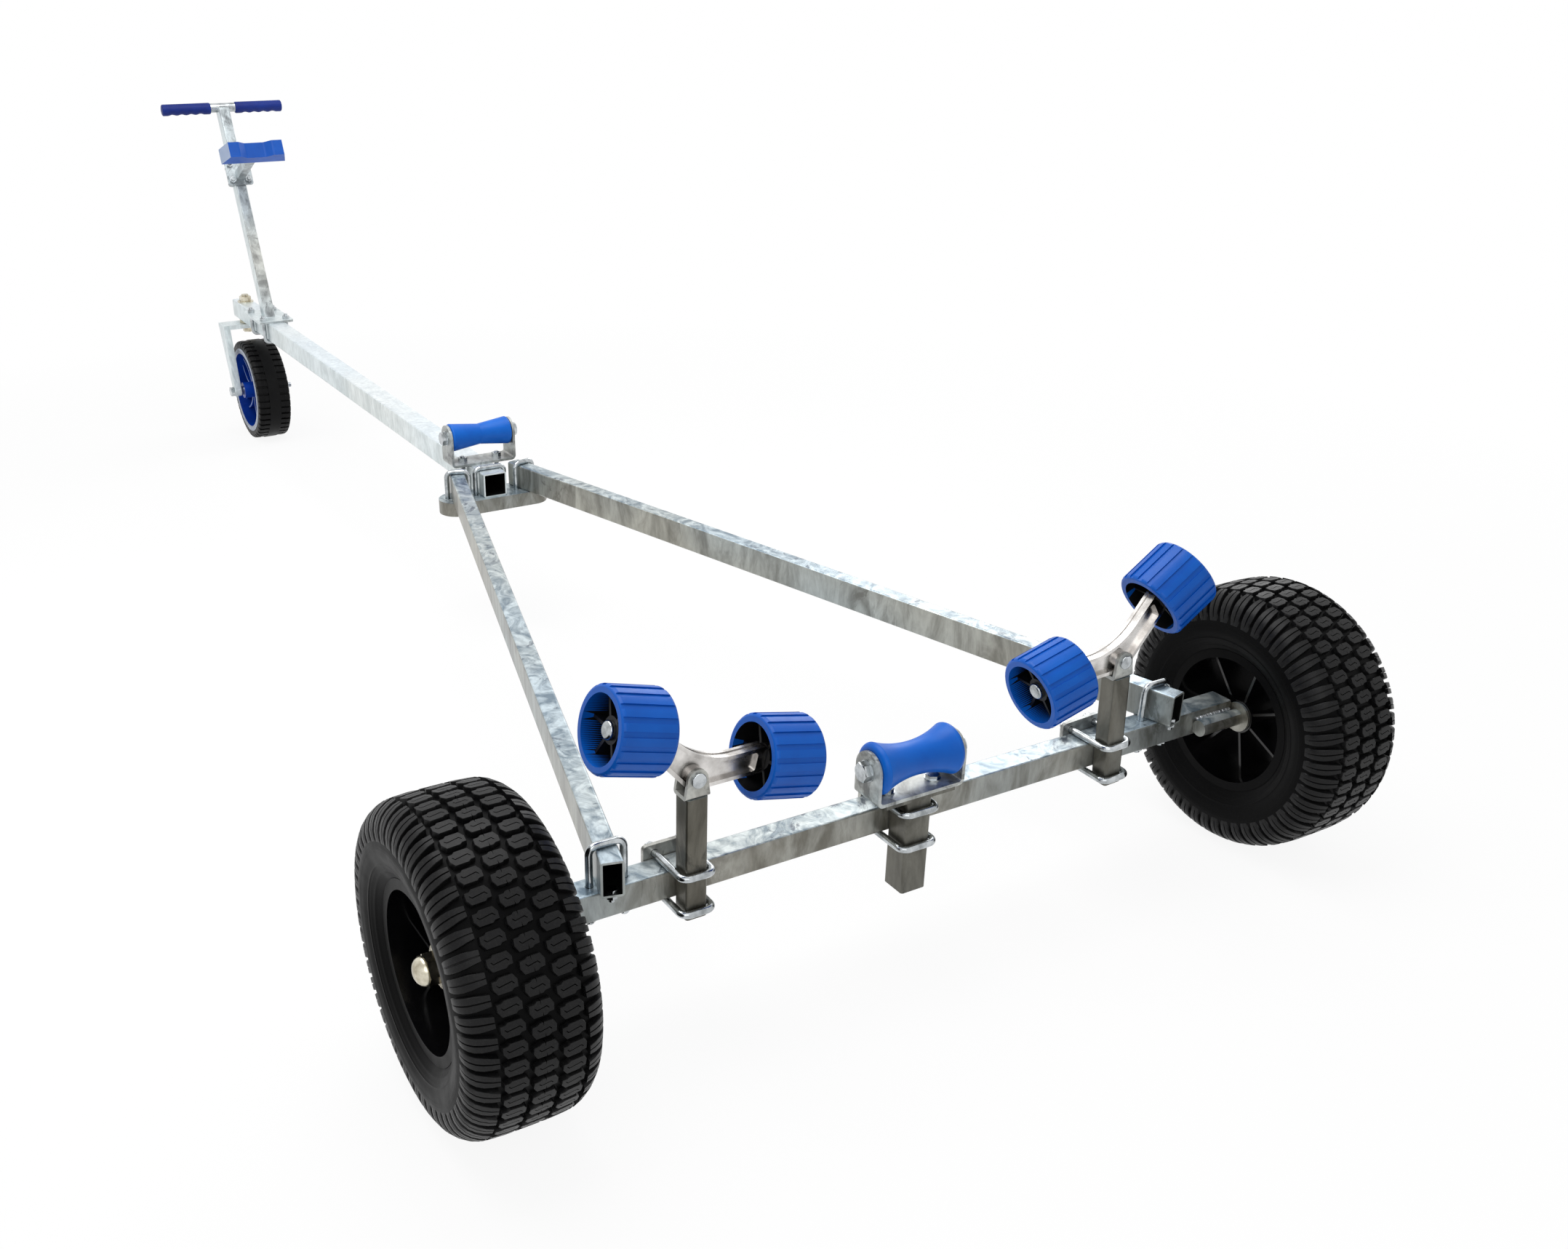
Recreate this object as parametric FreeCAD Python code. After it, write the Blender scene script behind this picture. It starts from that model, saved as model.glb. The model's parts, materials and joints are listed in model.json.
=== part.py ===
"""Hand launching trolley for a small boat, galvanised box sections on two turf tyres.

The frame is a cross beam with two stub axles, two side arms that meet over a
pressed cross channel, and a drawbar with a castor wheel, a handle post and a bow
snubber at its front. The hull rests on two rocking pairs of ribbed rollers and
on two waisted keel rollers.

Every piece is built in the frame's own axes: X forward along the drawbar, Y to
the left, Z square to the drawbar, with zero on the axle line and on the top of
the cross beam. At the end the whole trolley is tipped back about its axle until
the castor wheel touches the ground, and moved so that the origin is under the
middle of its box. Lengths are in millimetres.
"""
import math
import os

import FreeCAD, Part

V = FreeCAD.Vector
X_AXIS = V(1, 0, 0)
Y_AXIS = V(0, 1, 0)
Z_AXIS = V(0, 0, 1)
ORIGIN = V(0, 0, 0)
HALF_TURN = 180.0
QUARTER_TURN = 90.0
SIDES = (("left", 1), ("right", -1))

# Main wheels: a 16 by 6.50 tyre on an 8 inch rim
tyre_diameter = 406.0
tyre_width = 165.0
lug_count = 52
lug_share = 0.62
tyre_wall_rise_share = 0.24
tyre_widest_shares = (0.53, 1.0)
tyre_lug_shares = (0.875, 0.91)
tyre_gap_shares = (0.815, 0.85)
tyre_crown_shares = (1.0, 0.60)
rim_diameter = 203.0
rim_width = 136.0
rim_flange_height = 10.0
rim_flange_thickness = 5.0
rim_flange_flare = 6.0
rim_wall = 3.5
rim_web_thickness = 6.0
rim_rib_thickness = 4.0
rim_rib_count = 7
rim_rib_setback = 30.0
hub_diameter = 52.0
hub_length = 80.0
wheel_track = 1300.0

# Stub axles, each a round bar welded to the back of the beam
stub_diameter = 25.0
stub_lap = 78.0
axle_drop = 23.0
hub_washer_diameter = 46.0
hub_washer_thickness = 4.0
axle_nut_flats = 34.0
axle_nut_height = 15.0
axle_thread_stand = 4.0
hub_end_play = 0.5

# Box sections of the frame
beam_section = 40.0
beam_length = 1208.0
arm_width = 30.0
arm_height = 50.0
drawbar_section = 50.0
tube_wall = 3.0
tube_corner = 4.0

# Cross channel under the junction
channel_reach = 1459.0
channel_width = 75.0
channel_length = 235.0
channel_offset = -6.5
channel_depth = 28.0
channel_wall = 5.0

# Plan of the frame: the arms cross the beam and the channel at these offsets
arm_overhang = 16.0
arm_beam_offset = 458.2
arm_channel_offset_left = 70.4
arm_channel_offset_right = 77.0
arm_front_overhang = 31.0
drawbar_tail = 29.0
drawbar_length = 1912.0

# Square U-bolts
rod_diameter = 10.0
u_inner_radius = 6.0
nut_flats = 17.0
nut_height = 8.0
thread_stand = 5.0
bolt_clearance = 0.5

# Small bolt in the rear end of each arm
end_bolt_diameter = 8.0
end_bolt_head_flats = 13.0
end_bolt_head_height = 5.0

# Rocking roller supports
rocker_post_width = 30.0
rocker_post_depth = 30.0
rocker_post_below = 58.0
rocker_post_above = 113.0
rocker_offset_left = 358.5
rocker_offset_right = -338.0
rocker_lean_left = 0.0
rocker_lean_right = 2.5
clamp_plate_width = 76.0
clamp_plate_thickness = 6.0
clamp_plate_margin = 12.0
clamp_plate_corner = 6.0
clamp_rod_gap = 1.2
yoke_wall = 5.0
yoke_corner = 5.0
yoke_width = 35.0
yoke_ear_radius = 14.0
yoke_pin_rise = 26.0
pin_diameter = 12.0
pin_head_diameter = 20.0
pin_head_height = 4.0
pin_head_round = 1.5
rocker_rest_tilt_left = 25.0
rocker_rest_tilt_right = 27.1
rocker_tip_reach = 98.5
rocker_arm_rise = 24.8
rocker_arm_depth = 34.0
rocker_under_drop = 16.0
rocker_valley_rise = 29.0
rocker_flange_width = 18.0
rocker_flange_thickness = 5.0
rocker_web_thickness = 6.0
rocker_hub_radius = 13.0
rocker_end_land = 12.0
rocker_end_round = 4.0
rocker_pocket_round = 4.0
rocker_groove_width = 8.0
rocker_groove_depth = 1.5
rocker_side_gap = 1.0

# Ribbed rollers of the rockers, with the rise of each one's outboard end in degrees
roller_rise_left_outer = 15.9
roller_rise_left_inner = 13.1
roller_rise_right_outer = 33.0
roller_rise_right_inner = 14.9
roller_diameter = 108.0
roller_length = 77.0
roller_wall = 11.0
roller_end_diameter = 99.4
roller_end_round = 7.0
roller_rib_count = 20
roller_valley_width = 7.0
roller_rib_step = 2.0
roller_web_thickness = 8.0
roller_hub_diameter = 34.0
roller_hub_length = 46.0
roller_spoke_thickness = 4.0
roller_spoke_count = 6
roller_bolt_diameter = 16.0
roller_bolt_seat = 8.0
roller_bolt_head_diameter = 24.0
roller_bolt_head_height = 7.0
roller_bolt_head_round = 4.0
running_clearance = 0.05
side_clearance = 0.5

# Waisted keel rollers and their brackets
keel_roller_length = 130.0
keel_rear_end_diameter = 71.0
keel_rear_waist_diameter = 47.0
keel_rear_end_round = 8.0
keel_front_end_diameter = 57.0
keel_front_waist_diameter = 42.0
keel_front_end_round = 4.0
keel_axle_diameter = 16.0
keel_bolt_head_flats = 24.0
keel_bolt_head_height = 10.0
keel_washer_diameter = 30.0
keel_washer_thickness = 2.0
bracket_width = 142.0
bracket_depth = 53.0
bracket_wall = 5.0
bracket_corner = 9.0
bracket_axle_rise_rear = 45.5
bracket_axle_rise_front = 58.0
bracket_bolt_spacing = 76.0
bracket_lead = 5.0
bracket_offset_rear = 24.0
bracket_offset_front = -6.0
keel_front_lead = 64.0
keel_thread_stand = 2.0
keel_post_offset = 24.0
keel_post_width = 40.0
keel_post_depth = 40.0
keel_post_below = 119.0
keel_post_above = 23.0
keel_top_plate_width = 112.0
keel_top_plate_thickness = 5.0
small_bolt_diameter = 10.0
small_bolt_head_flats = 17.0
small_bolt_head_height = 5.0
small_washer_diameter = 22.0
small_washer_thickness = 1.5

# Handle post with its foot plate and T bar
post_setback = 293.0
post_width = 30.0
post_depth = 40.0
post_lean = 25.0
post_length = 588.0
foot_plate_width = 98.0
foot_plate_length = 168.0
foot_plate_thickness = 6.0
foot_plate_corner = 10.0
foot_bolt_pitch = 126.0
bar_diameter = 25.0
bar_wall = 2.5
bar_length = 330.0
grip_length = 134.0
grip_diameter = 31.0
grip_drop = 1.0
grip_wave_depth = 2.5
grip_wave_count = 4
grip_end_cap = 3.0
grip_end_round = 5.0

# Bow snubber on its strut
snubber_rise = 404.0
snubber_plate_width = 70.0
snubber_plate_height = 75.0
snubber_plate_thickness = 5.0
snubber_plate_corner = 6.0
snubber_bolt_pitch = 45.0
strut_drop = 12.0
strut_section = 22.0
strut_length = 172.0
snubber_face_width = 146.0
snubber_back_width = 174.0
snubber_height = 40.0
snubber_pad_depth = 56.0
snubber_notch_depth = 14.0
snubber_notch_shares = (0.62, 0.35)
snubber_crease_round = 9.0

# Castor wheel at the front of the drawbar
castor_pivot_setback = 53.0
castor_trail = 69.0
castor_axle_drop = 196.0
castor_plate_gap = 10.0
castor_plate_thickness = 12.0
castor_plate_width = 60.0
castor_bar_thickness = 18.0
castor_bar_width = 30.0
castor_bolt_diameter = 20.0
castor_nut_flats = 30.0
castor_nut_height = 14.0
castor_washer_diameter = 46.0
castor_washer_thickness = 3.0
jockey_diameter = 290.0
jockey_width = 94.0
jockey_facet_count = 48
jockey_edge_shares = ((0.955, 1.0), (0.99, 0.90), (1.0, 0.66))
jockey_nut_flats = 24.0
jockey_nut_height = 12.0
jockey_rim_diameter = 226.0
jockey_hub_diameter = 46.0
jockey_hub_length = 108.0
jockey_axle_diameter = 16.0
jockey_spoke_pair_count = 5
jockey_spoke_radius = 120.0
jockey_spacer_diameter = 26.0
jockey_spacer_length = 8.0
jockey_rim_wall = 5.0
jockey_spoke_thickness = 5.0
jockey_spoke_depth = 24.0

# Overrun of every cut past the faces that it opens
overrun = 1.0

# Sizes worked out from those above
half_track = wheel_track / 2
beam_rear = stub_diameter / 2
beam_centre = beam_rear + beam_section / 2
drawbar_rear = channel_reach - drawbar_tail
drawbar_front = drawbar_rear + drawbar_length
keel_reach_front = channel_reach + keel_front_lead
post_reach = drawbar_front - post_setback
castor_pivot_reach = drawbar_front - castor_pivot_setback
castor_axle_reach = castor_pivot_reach - castor_trail
u_gap = u_inner_radius - tube_corner


def box(x0, x1, y0, y1, z0, z1):
    """Plain block between two corners."""
    return Part.makeBox(x1 - x0, y1 - y0, z1 - z0, V(x0, y0, z0))


def rod(radius, length, base, direction):
    """Round bar from a base point along a direction."""
    return Part.makeCylinder(radius, length, base, direction)


def hexagon(flats, height, base, direction):
    """Hexagonal prism across the given flats."""
    corner_radius = flats / math.sqrt(3)
    points = [V(corner_radius * math.cos(i * math.pi / 3), corner_radius * math.sin(i * math.pi / 3), 0)
              for i in range(6)]
    prism = Part.Face(Part.makePolygon(points + points[:1])).extrude(V(0, 0, height))
    prism.Placement = FreeCAD.Placement(base, FreeCAD.Rotation(Z_AXIS, direction))
    return prism


def rounded_rectangle(width, height, corner):
    """Closed wire in the YZ plane, centred on the X axis, with round corners."""
    y = width / 2
    z = height / 2
    bend = corner * (1 - math.sqrt(0.5))
    edges = []
    for sy, sz in ((1, 1), (-1, 1), (-1, -1), (1, -1)):
        side = V(0, sy * y, sz * (z - corner))
        middle = V(0, sy * (y - bend), sz * (z - bend))
        top = V(0, sy * (y - corner), sz * z)
        ends = (side, top) if sy * sz > 0 else (top, side)
        edges.append(Part.Arc(ends[0], middle, ends[1]).toShape())
    lines = []
    for i, arc in enumerate(edges):
        follower = edges[(i + 1) % len(edges)]
        lines.append(Part.makeLine(arc.Vertexes[-1].Point, follower.Vertexes[0].Point))
    ordered = [edge for pair in zip(edges, lines) for edge in pair]
    return Part.Wire(ordered)


def box_tube(length, width, height, wall=tube_wall, corner=tube_corner):
    """Hollow box section along X from the origin, standing on Z = 0."""
    outer = Part.Face(rounded_rectangle(width, height, corner)).extrude(V(length, 0, 0))
    inner_corner = max(corner - wall, corner / 4)
    inner = Part.Face(rounded_rectangle(width - 2 * wall, height - 2 * wall, inner_corner))
    inner = inner.extrude(V(length + 2 * overrun, 0, 0)).translated(V(-overrun, 0, 0))
    return outer.cut(inner).translated(V(0, 0, height / 2))


def fuse(shapes):
    """One solid from pieces that touch."""
    joined = shapes[0].multiFuse(shapes[1:])
    return joined.removeSplitter()


def turned(shape, base, axis, degrees):
    """Copy of a shape turned about a line."""
    copy = shape.copy()
    copy.rotate(base, axis, degrees)
    return copy


def chamfered_hexagon(flats, height, base, direction):
    """Hexagonal prism with the corners of its far end turned off."""
    corner_radius = flats / math.sqrt(3)
    bevel = (corner_radius - flats / 2) / math.sqrt(3)
    straight = rod(corner_radius, height - bevel, base, direction)
    cone = Part.makeCone(corner_radius, flats / 2, bevel, base + direction * (height - bevel), direction)
    return hexagon(flats, height, base, direction).common(fuse([straight, cone]))


def outline(stops):
    """Closed wire through stops: a point ends a line, and a pair is an arc's middle and its end."""
    edges = []
    here = stops[-1][-1] if isinstance(stops[-1], tuple) else stops[-1]
    for stop in stops:
        if isinstance(stop, tuple):
            middle, end = stop
            edges.append(Part.Arc(here, middle, end).toShape())
        else:
            end = stop
            edges.append(Part.makeLine(here, end))
        here = end
    return Part.Wire(edges)


def along(edge, axis):
    """True for a straight edge that runs along an axis."""
    if edge.Curve.TypeId != "Part::GeomLine":
        return False
    return abs(edge.Curve.Direction.dot(axis)) > math.cos(math.radians(overrun))


def rounded_edges(shape, radius, axis, chosen):
    """Round the straight edges along an axis whose middle point is chosen."""
    edges = [edge for edge in shape.Edges if along(edge, axis) and chosen(edge.CenterOfMass)]
    return shape.makeFillet(radius, edges)


def domed_rod(radius, length, edge_round, base, direction):
    """Round bar whose far edge is rounded."""
    bar = rod(radius, length, base, direction)
    tip = base + direction * length
    edges = [edge for edge in bar.Edges if edge.Closed and (edge.CenterOfMass - tip).Length < edge_round]
    return bar.makeFillet(edge_round, edges)


def u_bolt(inner_width, grip_depth, stand=thread_stand):
    """Square U-bolt with nuts, astride a section whose top is at Z = 0, its legs down at +Y and -Y.

    grip_depth is how far below the section's top the nuts' seats lie, and stand is how
    far the legs stand out of the nuts.
    """
    radius = rod_diameter / 2
    bend = u_inner_radius + radius
    bend_z = radius - bend
    leg_y = inner_width / 2 + radius
    leg_end = -(grip_depth + nut_height + stand)
    pieces = [rod(radius, 2 * (leg_y - bend), V(0, bend - leg_y, radius), Y_AXIS)]
    for side in (1, -1):
        pieces.append(rod(radius, bend_z - leg_end, V(0, side * leg_y, leg_end), Z_AXIS))
        disc = Part.Face(Part.Wire(Part.makeCircle(radius, V(0, side * leg_y, bend_z), Z_AXIS)))
        pieces.append(disc.revolve(V(0, side * (leg_y - bend), bend_z), X_AXIS, side * QUARTER_TURN))
        pieces.append(hexagon(nut_flats, nut_height, V(0, side * leg_y, -grip_depth - nut_height), Z_AXIS))
    return fuse(pieces)


def leg_holes(inner_width, depth):
    """Cutters for the two legs of a U-bolt, from above Z = 0 down past depth."""
    radius = rod_diameter / 2
    leg_y = inner_width / 2 + radius
    return [rod(radius + bolt_clearance, depth + 2 * overrun,
                V(0, side * leg_y, -depth - overrun), Z_AXIS) for side in (1, -1)]


def channel_offset_of_arm(side):
    """Sideways distance of an arm's centre line from the drawbar's over the cross channel."""
    return arm_channel_offset_left if side > 0 else arm_channel_offset_right


def arm_heading(side):
    """Angle in degrees between a side arm and the drawbar."""
    inward = arm_beam_offset - channel_offset_of_arm(side)
    return math.degrees(math.atan2(inward, channel_reach - beam_centre))


def arm_offset_at(reach, side):
    """Sideways offset of an arm's centre line at a distance forward of the axle."""
    share = (reach - beam_centre) / (channel_reach - beam_centre)
    return arm_beam_offset + share * (channel_offset_of_arm(side) - arm_beam_offset)


def on_arm(shape, reach, side):
    """Place a shape that straddles the X axis on a side arm at a distance forward."""
    placed = turned(shape, ORIGIN, Z_AXIS, -side * arm_heading(side))
    return placed.translated(V(reach, side * arm_offset_at(reach, side), 0))


def end_bolt_place():
    """Distance along an arm from its rear end to the small bolt there."""
    return arm_overhang / 2


def make_side_arm(side):
    """Box section from the beam to the cross channel, drilled for the bolt in its rear end."""
    rear = beam_rear - arm_overhang
    front = channel_reach + arm_front_overhang
    length = (front - rear) / math.cos(math.radians(arm_heading(side)))
    hole = rod(end_bolt_diameter / 2, tube_wall + 2 * overrun, V(end_bolt_place(), 0, -overrun), Z_AXIS)
    return on_arm(box_tube(length, arm_width, arm_height).cut(hole), rear, side)


def rear_bolt_width(side):
    """Inner width of a U-bolt square to the beam that clears the slanting arm in it."""
    heading = math.radians(arm_heading(side))
    return arm_width / math.cos(heading) + rod_diameter * math.tan(heading) + 2 * u_gap


def make_axle_beam():
    """Cross beam, drilled for the rear U-bolts of the two arms."""
    beam = box_tube(beam_length, beam_section, beam_section)
    beam = turned(beam, ORIGIN, Z_AXIS, QUARTER_TURN)
    beam = beam.translated(V(beam_centre, -beam_length / 2, -beam_section))
    holes = []
    for name, side in SIDES:
        for hole in leg_holes(rear_bolt_width(side), beam_section):
            holes.append(hole.translated(V(beam_centre, side * arm_beam_offset, 0)))
    return beam.cut(holes)


def make_stub_axle(side):
    """Round bar with a washer welded on where the hub begins."""
    inner_end = beam_length / 2 - stub_lap
    hub_face = half_track - hub_length / 2 - hub_end_play
    nut_face = half_track + hub_length / 2 + hub_end_play + hub_washer_thickness
    outer_end = nut_face + axle_nut_height + axle_thread_stand
    bar = rod(stub_diameter / 2, outer_end - inner_end, V(0, side * inner_end, -axle_drop),
              V(0, side, 0))
    collar = rod(hub_washer_diameter / 2, hub_washer_thickness,
                 V(0, side * (hub_face - hub_washer_thickness), -axle_drop), V(0, side, 0))
    return fuse([bar, collar])


def make_hub_nut(side):
    """Outer washer and nut that keep a wheel on its stub axle."""
    start = half_track + hub_length / 2 + hub_end_play
    outward = V(0, side, 0)
    washer = rod(hub_washer_diameter / 2, hub_washer_thickness, V(0, side * start, -axle_drop), outward)
    nut = chamfered_hexagon(axle_nut_flats, axle_nut_height,
                            V(0, side * (start + hub_washer_thickness), -axle_drop), outward)
    hole = rod(stub_diameter / 2, hub_washer_thickness + axle_nut_height + 2 * overrun,
               V(0, side * (start - overrun), -axle_drop), outward)
    return fuse([washer, nut]).cut(hole)


def revolve_about_y(points_radius_y, centre):
    """Solid of revolution about a line along Y, from (radius, y) corners of its section."""
    corners = [V(r, y, 0) for r, y in points_radius_y]
    return revolve_wire(Part.makePolygon(corners + corners[:1]), centre)


def revolve_wire(wire, centre):
    """Solid of revolution about a line along Y, from a closed wire with X as its radius."""
    solid = Part.Face(wire).revolve(ORIGIN, Y_AXIS, 2 * HALF_TURN)
    return solid.translated(centre)


def faceted_ring(steps, pitch_count, centre):
    """Solid ring of flat facets about a line along Y.

    steps has a share of the pitch and a closed section for each step of one pitch. A
    section is a list of (radius, y) corners, and where a corner differs from that of
    the next step, a flat radial wall joins the two.
    """
    pitch = 2 * math.pi / pitch_count

    def corner(section, i, angle):
        radius, y = section[i % len(section)]
        return V(radius * math.cos(angle), y, radius * math.sin(angle))

    def facet(points):
        return Part.Face(Part.makePolygon(points + points[:1]))

    facets = []
    for number in range(pitch_count):
        turn = number
        for i, (share, section) in enumerate(steps):
            start = turn * pitch
            turn += share
            end = turn * pitch
            following = steps[(i + 1) % len(steps)][1]
            for k in range(len(section)):
                facets.append(facet([corner(section, k, start), corner(section, k + 1, start),
                                     corner(section, k + 1, end), corner(section, k, end)]))
                if section[k] != following[k]:
                    facets.append(facet([corner(section, k - 1, end), corner(section, k, end),
                                         corner(section, k + 1, end), corner(following, k, end)]))
    shell = Part.Shell(facets)
    shell.sewShape()
    solid = Part.Solid(shell)
    if solid.Volume < 0:
        solid.reverse()
    return solid.translated(centre)


def rim_foot():
    """Half width of the rim's seat, between the feet of its flared flanges."""
    return rim_width / 2 - rim_flange_thickness - rim_flange_flare


def tyre_section(shoulder_shares):
    """Closed section of a tyre with a given shoulder, its beads along the flared flanges."""
    seat = rim_diameter / 2
    height = tyre_diameter / 2 - seat
    flat = math.cos(math.pi / lug_count * lug_share)
    wall_rise = height * tyre_wall_rise_share
    wall_reach = rim_foot() + wall_rise * rim_flange_flare / rim_flange_height
    near = [(seat / flat, rim_foot()), ((seat + wall_rise) / flat, wall_reach)]
    near += [(seat + height * rise, tyre_width / 2 * reach)
             for rise, reach in (tyre_widest_shares, shoulder_shares, tyre_crown_shares)]
    return near + [(radius, -y) for radius, y in reversed(near)]


def make_tyre(side):
    """Tyre seated on its rim, its shoulders stepped into lugs."""
    steps = [(lug_share, tyre_section(tyre_lug_shares)), (1 - lug_share, tyre_section(tyre_gap_shares))]
    return faceted_ring(steps, lug_count, V(0, side * half_track, -axle_drop))


def make_rim(side):
    """Moulded rim with flared flanges, a middle web, radial ribs and a long hub."""
    centre = V(0, side * half_track, -axle_drop)
    seat = rim_diameter / 2
    half = rim_width / 2
    top = seat + rim_flange_height
    lip = half - rim_flange_thickness
    barrel = revolve_about_y([(seat, rim_foot()), (top, lip), (top, half), (seat - rim_wall, half),
                              (seat - rim_wall, -half), (top, -half), (top, -lip),
                              (seat, -rim_foot())], centre)
    web = rod(seat - rim_wall, rim_web_thickness, centre - V(0, rim_web_thickness / 2, 0), Y_AXIS)
    hub = rod(hub_diameter / 2, hub_length, centre - V(0, hub_length / 2, 0), Y_AXIS)
    rib_half = half - rim_rib_setback
    ribs = []
    for i in range(rim_rib_count):
        rib = box(hub_diameter / 4, seat - rim_wall, -rib_half, rib_half, -rim_rib_thickness / 2,
                  rim_rib_thickness / 2)
        rib = turned(rib, ORIGIN, Y_AXIS, i * 2 * HALF_TURN / rim_rib_count)
        ribs.append(rib.translated(centre))
    bore = rod(stub_diameter / 2 + running_clearance, hub_length + 2 * overrun,
               centre - V(0, hub_length / 2 + overrun, 0), Y_AXIS)
    return fuse([barrel, web, hub] + ribs).cut(bore)


def make_rear_arm_bolts():
    """U-bolts square to the beam that hold the arms down on it, and the bolts in the arms' ends."""
    grip = arm_height + beam_section
    bolts = []
    for name, side in SIDES:
        bolt = u_bolt(rear_bolt_width(side), grip)
        bolts.append(bolt.translated(V(beam_centre, side * arm_beam_offset, arm_height)))
        head = hexagon(end_bolt_head_flats, end_bolt_head_height, V(end_bolt_place(), 0, tube_wall), Z_AXIS)
        nut_base = V(end_bolt_place(), 0, -end_bolt_head_height)
        nut = hexagon(end_bolt_head_flats, end_bolt_head_height, nut_base, Z_AXIS)
        length = tube_wall + 2 * end_bolt_head_height
        shank = rod(end_bolt_diameter / 2, length, nut_base - V(0, 0, end_bolt_head_height), Z_AXIS)
        bolts.append(on_arm(fuse([head, nut, shank]), beam_rear - arm_overhang, side))
    return Part.makeCompound(bolts)


def make_junction_bolts():
    """U-bolts of both arms and of the drawbar on the cross channel."""
    bolts = []
    for name, side in SIDES:
        bolt = u_bolt(arm_width + 2 * u_gap, arm_height + channel_wall)
        bolts.append(on_arm(bolt.translated(V(0, 0, arm_height)), channel_reach, side))
    bolt = u_bolt(drawbar_section + 2 * u_gap, drawbar_section + channel_wall)
    bolts.append(bolt.translated(V(channel_reach, 0, drawbar_section)))
    return Part.makeCompound(bolts)


def obround(length, width, z0, z1):
    """Block with half-round ends, long way along Y, centred on the Z axis."""
    radius = width / 2
    straight = length / 2 - radius
    middle = box(-radius, radius, -straight, straight, z0, z1)
    ends = [rod(radius, z1 - z0, V(0, side * straight, z0), Z_AXIS) for side in (1, -1)]
    return fuse([middle] + ends)


def make_cross_channel():
    """Pressed channel, open below, with round ends and holes for the U-bolts."""
    shell = obround(channel_length, channel_width, -channel_depth, 0)
    hollow = obround(channel_length - 2 * channel_wall, channel_width - 2 * channel_wall,
                     -channel_depth - overrun, -channel_wall)
    channel = shell.cut(hollow).translated(V(channel_reach, channel_offset, 0))
    holes = []
    for name, side in SIDES:
        for hole in leg_holes(arm_width + 2 * u_gap, channel_wall):
            holes.append(on_arm(hole, channel_reach, side))
    for hole in leg_holes(drawbar_section + 2 * u_gap, channel_wall):
        holes.append(hole.translated(V(channel_reach, 0, 0)))
    return channel.cut(holes)


def make_drawbar():
    """Box section from the junction to the castor, drilled for the castor bolt."""
    bar = box_tube(drawbar_length, drawbar_section, drawbar_section)
    bar = bar.translated(V(drawbar_rear, 0, 0))
    hole = rod(castor_bolt_diameter / 2, drawbar_section + 2 * overrun,
               V(castor_pivot_reach, 0, -overrun), Z_AXIS)
    return bar.cut(hole)


def clamp_heights():
    """Heights of the upper and the lower U-bolt of a clamped post, a gap off the beam."""
    radius = rod_diameter / 2
    return (clamp_rod_gap + radius, -beam_section - clamp_rod_gap - radius)


def clamp_bolts(post_width, post_depth):
    """Two U-bolts lying flat round a post at Y = 0, above and below the beam, with nuts in front."""
    grip = post_depth + beam_section + clamp_plate_thickness
    bolts = []
    for height in clamp_heights():
        bolt = turned(u_bolt(post_width + 2 * u_gap, grip), ORIGIN, Y_AXIS, -QUARTER_TURN)
        bolts.append(bolt.translated(V(beam_rear - post_depth, 0, height)))
    return Part.makeCompound(bolts)


def make_clamp_plate(post_width):
    """Front plate of a post clamped at Y = 0, drilled for the legs of its U-bolts."""
    upper, lower = clamp_heights()
    front = beam_rear + beam_section
    half = clamp_plate_width / 2
    plate = box(front, front + clamp_plate_thickness, -half, half, lower - clamp_plate_margin,
                upper + clamp_plate_margin)
    plate = rounded_edges(plate, clamp_plate_corner, X_AXIS, lambda point: True)
    leg_y = post_width / 2 + u_gap + rod_diameter / 2
    holes = [rod(rod_diameter / 2 + bolt_clearance, clamp_plate_thickness + 2 * overrun,
                 V(front - overrun, side * leg_y, height), X_AXIS)
             for side in (1, -1) for height in (upper, lower)]
    return plate.cut(holes)


def upright_tube(width, depth, bottom, top):
    """Box section at Y = 0 standing against the back of the beam."""
    tube = box_tube(top - bottom, width, depth)
    tube = turned(tube.translated(V(0, 0, -depth / 2)), ORIGIN, Y_AXIS, -QUARTER_TURN)
    return tube.translated(V(beam_rear - depth / 2, 0, bottom))


def on_stand(shape, side):
    """Put a shape made about a rocker post at Y = 0 in that post's place, with its lean inboard."""
    lean = rocker_lean_left if side > 0 else rocker_lean_right
    offset = rocker_offset_left if side > 0 else rocker_offset_right
    leaning = turned(shape, V(0, 0, -beam_section / 2), X_AXIS, side * lean)
    return leaning.translated(V(0, offset, 0))


def pivot_on_post():
    """Pivot point of a rocker over a post at Y = 0."""
    return V(beam_rear - rocker_post_depth / 2, 0, rocker_post_above + yoke_pin_rise)


def rocker_centre(side):
    """Pivot point of a rocker."""
    return on_stand(Part.Vertex(pivot_on_post()), side).Point


def yoke_inner():
    """Half the gap between the ears of a yoke."""
    return rocker_flange_width / 2 + rocker_side_gap


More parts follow.
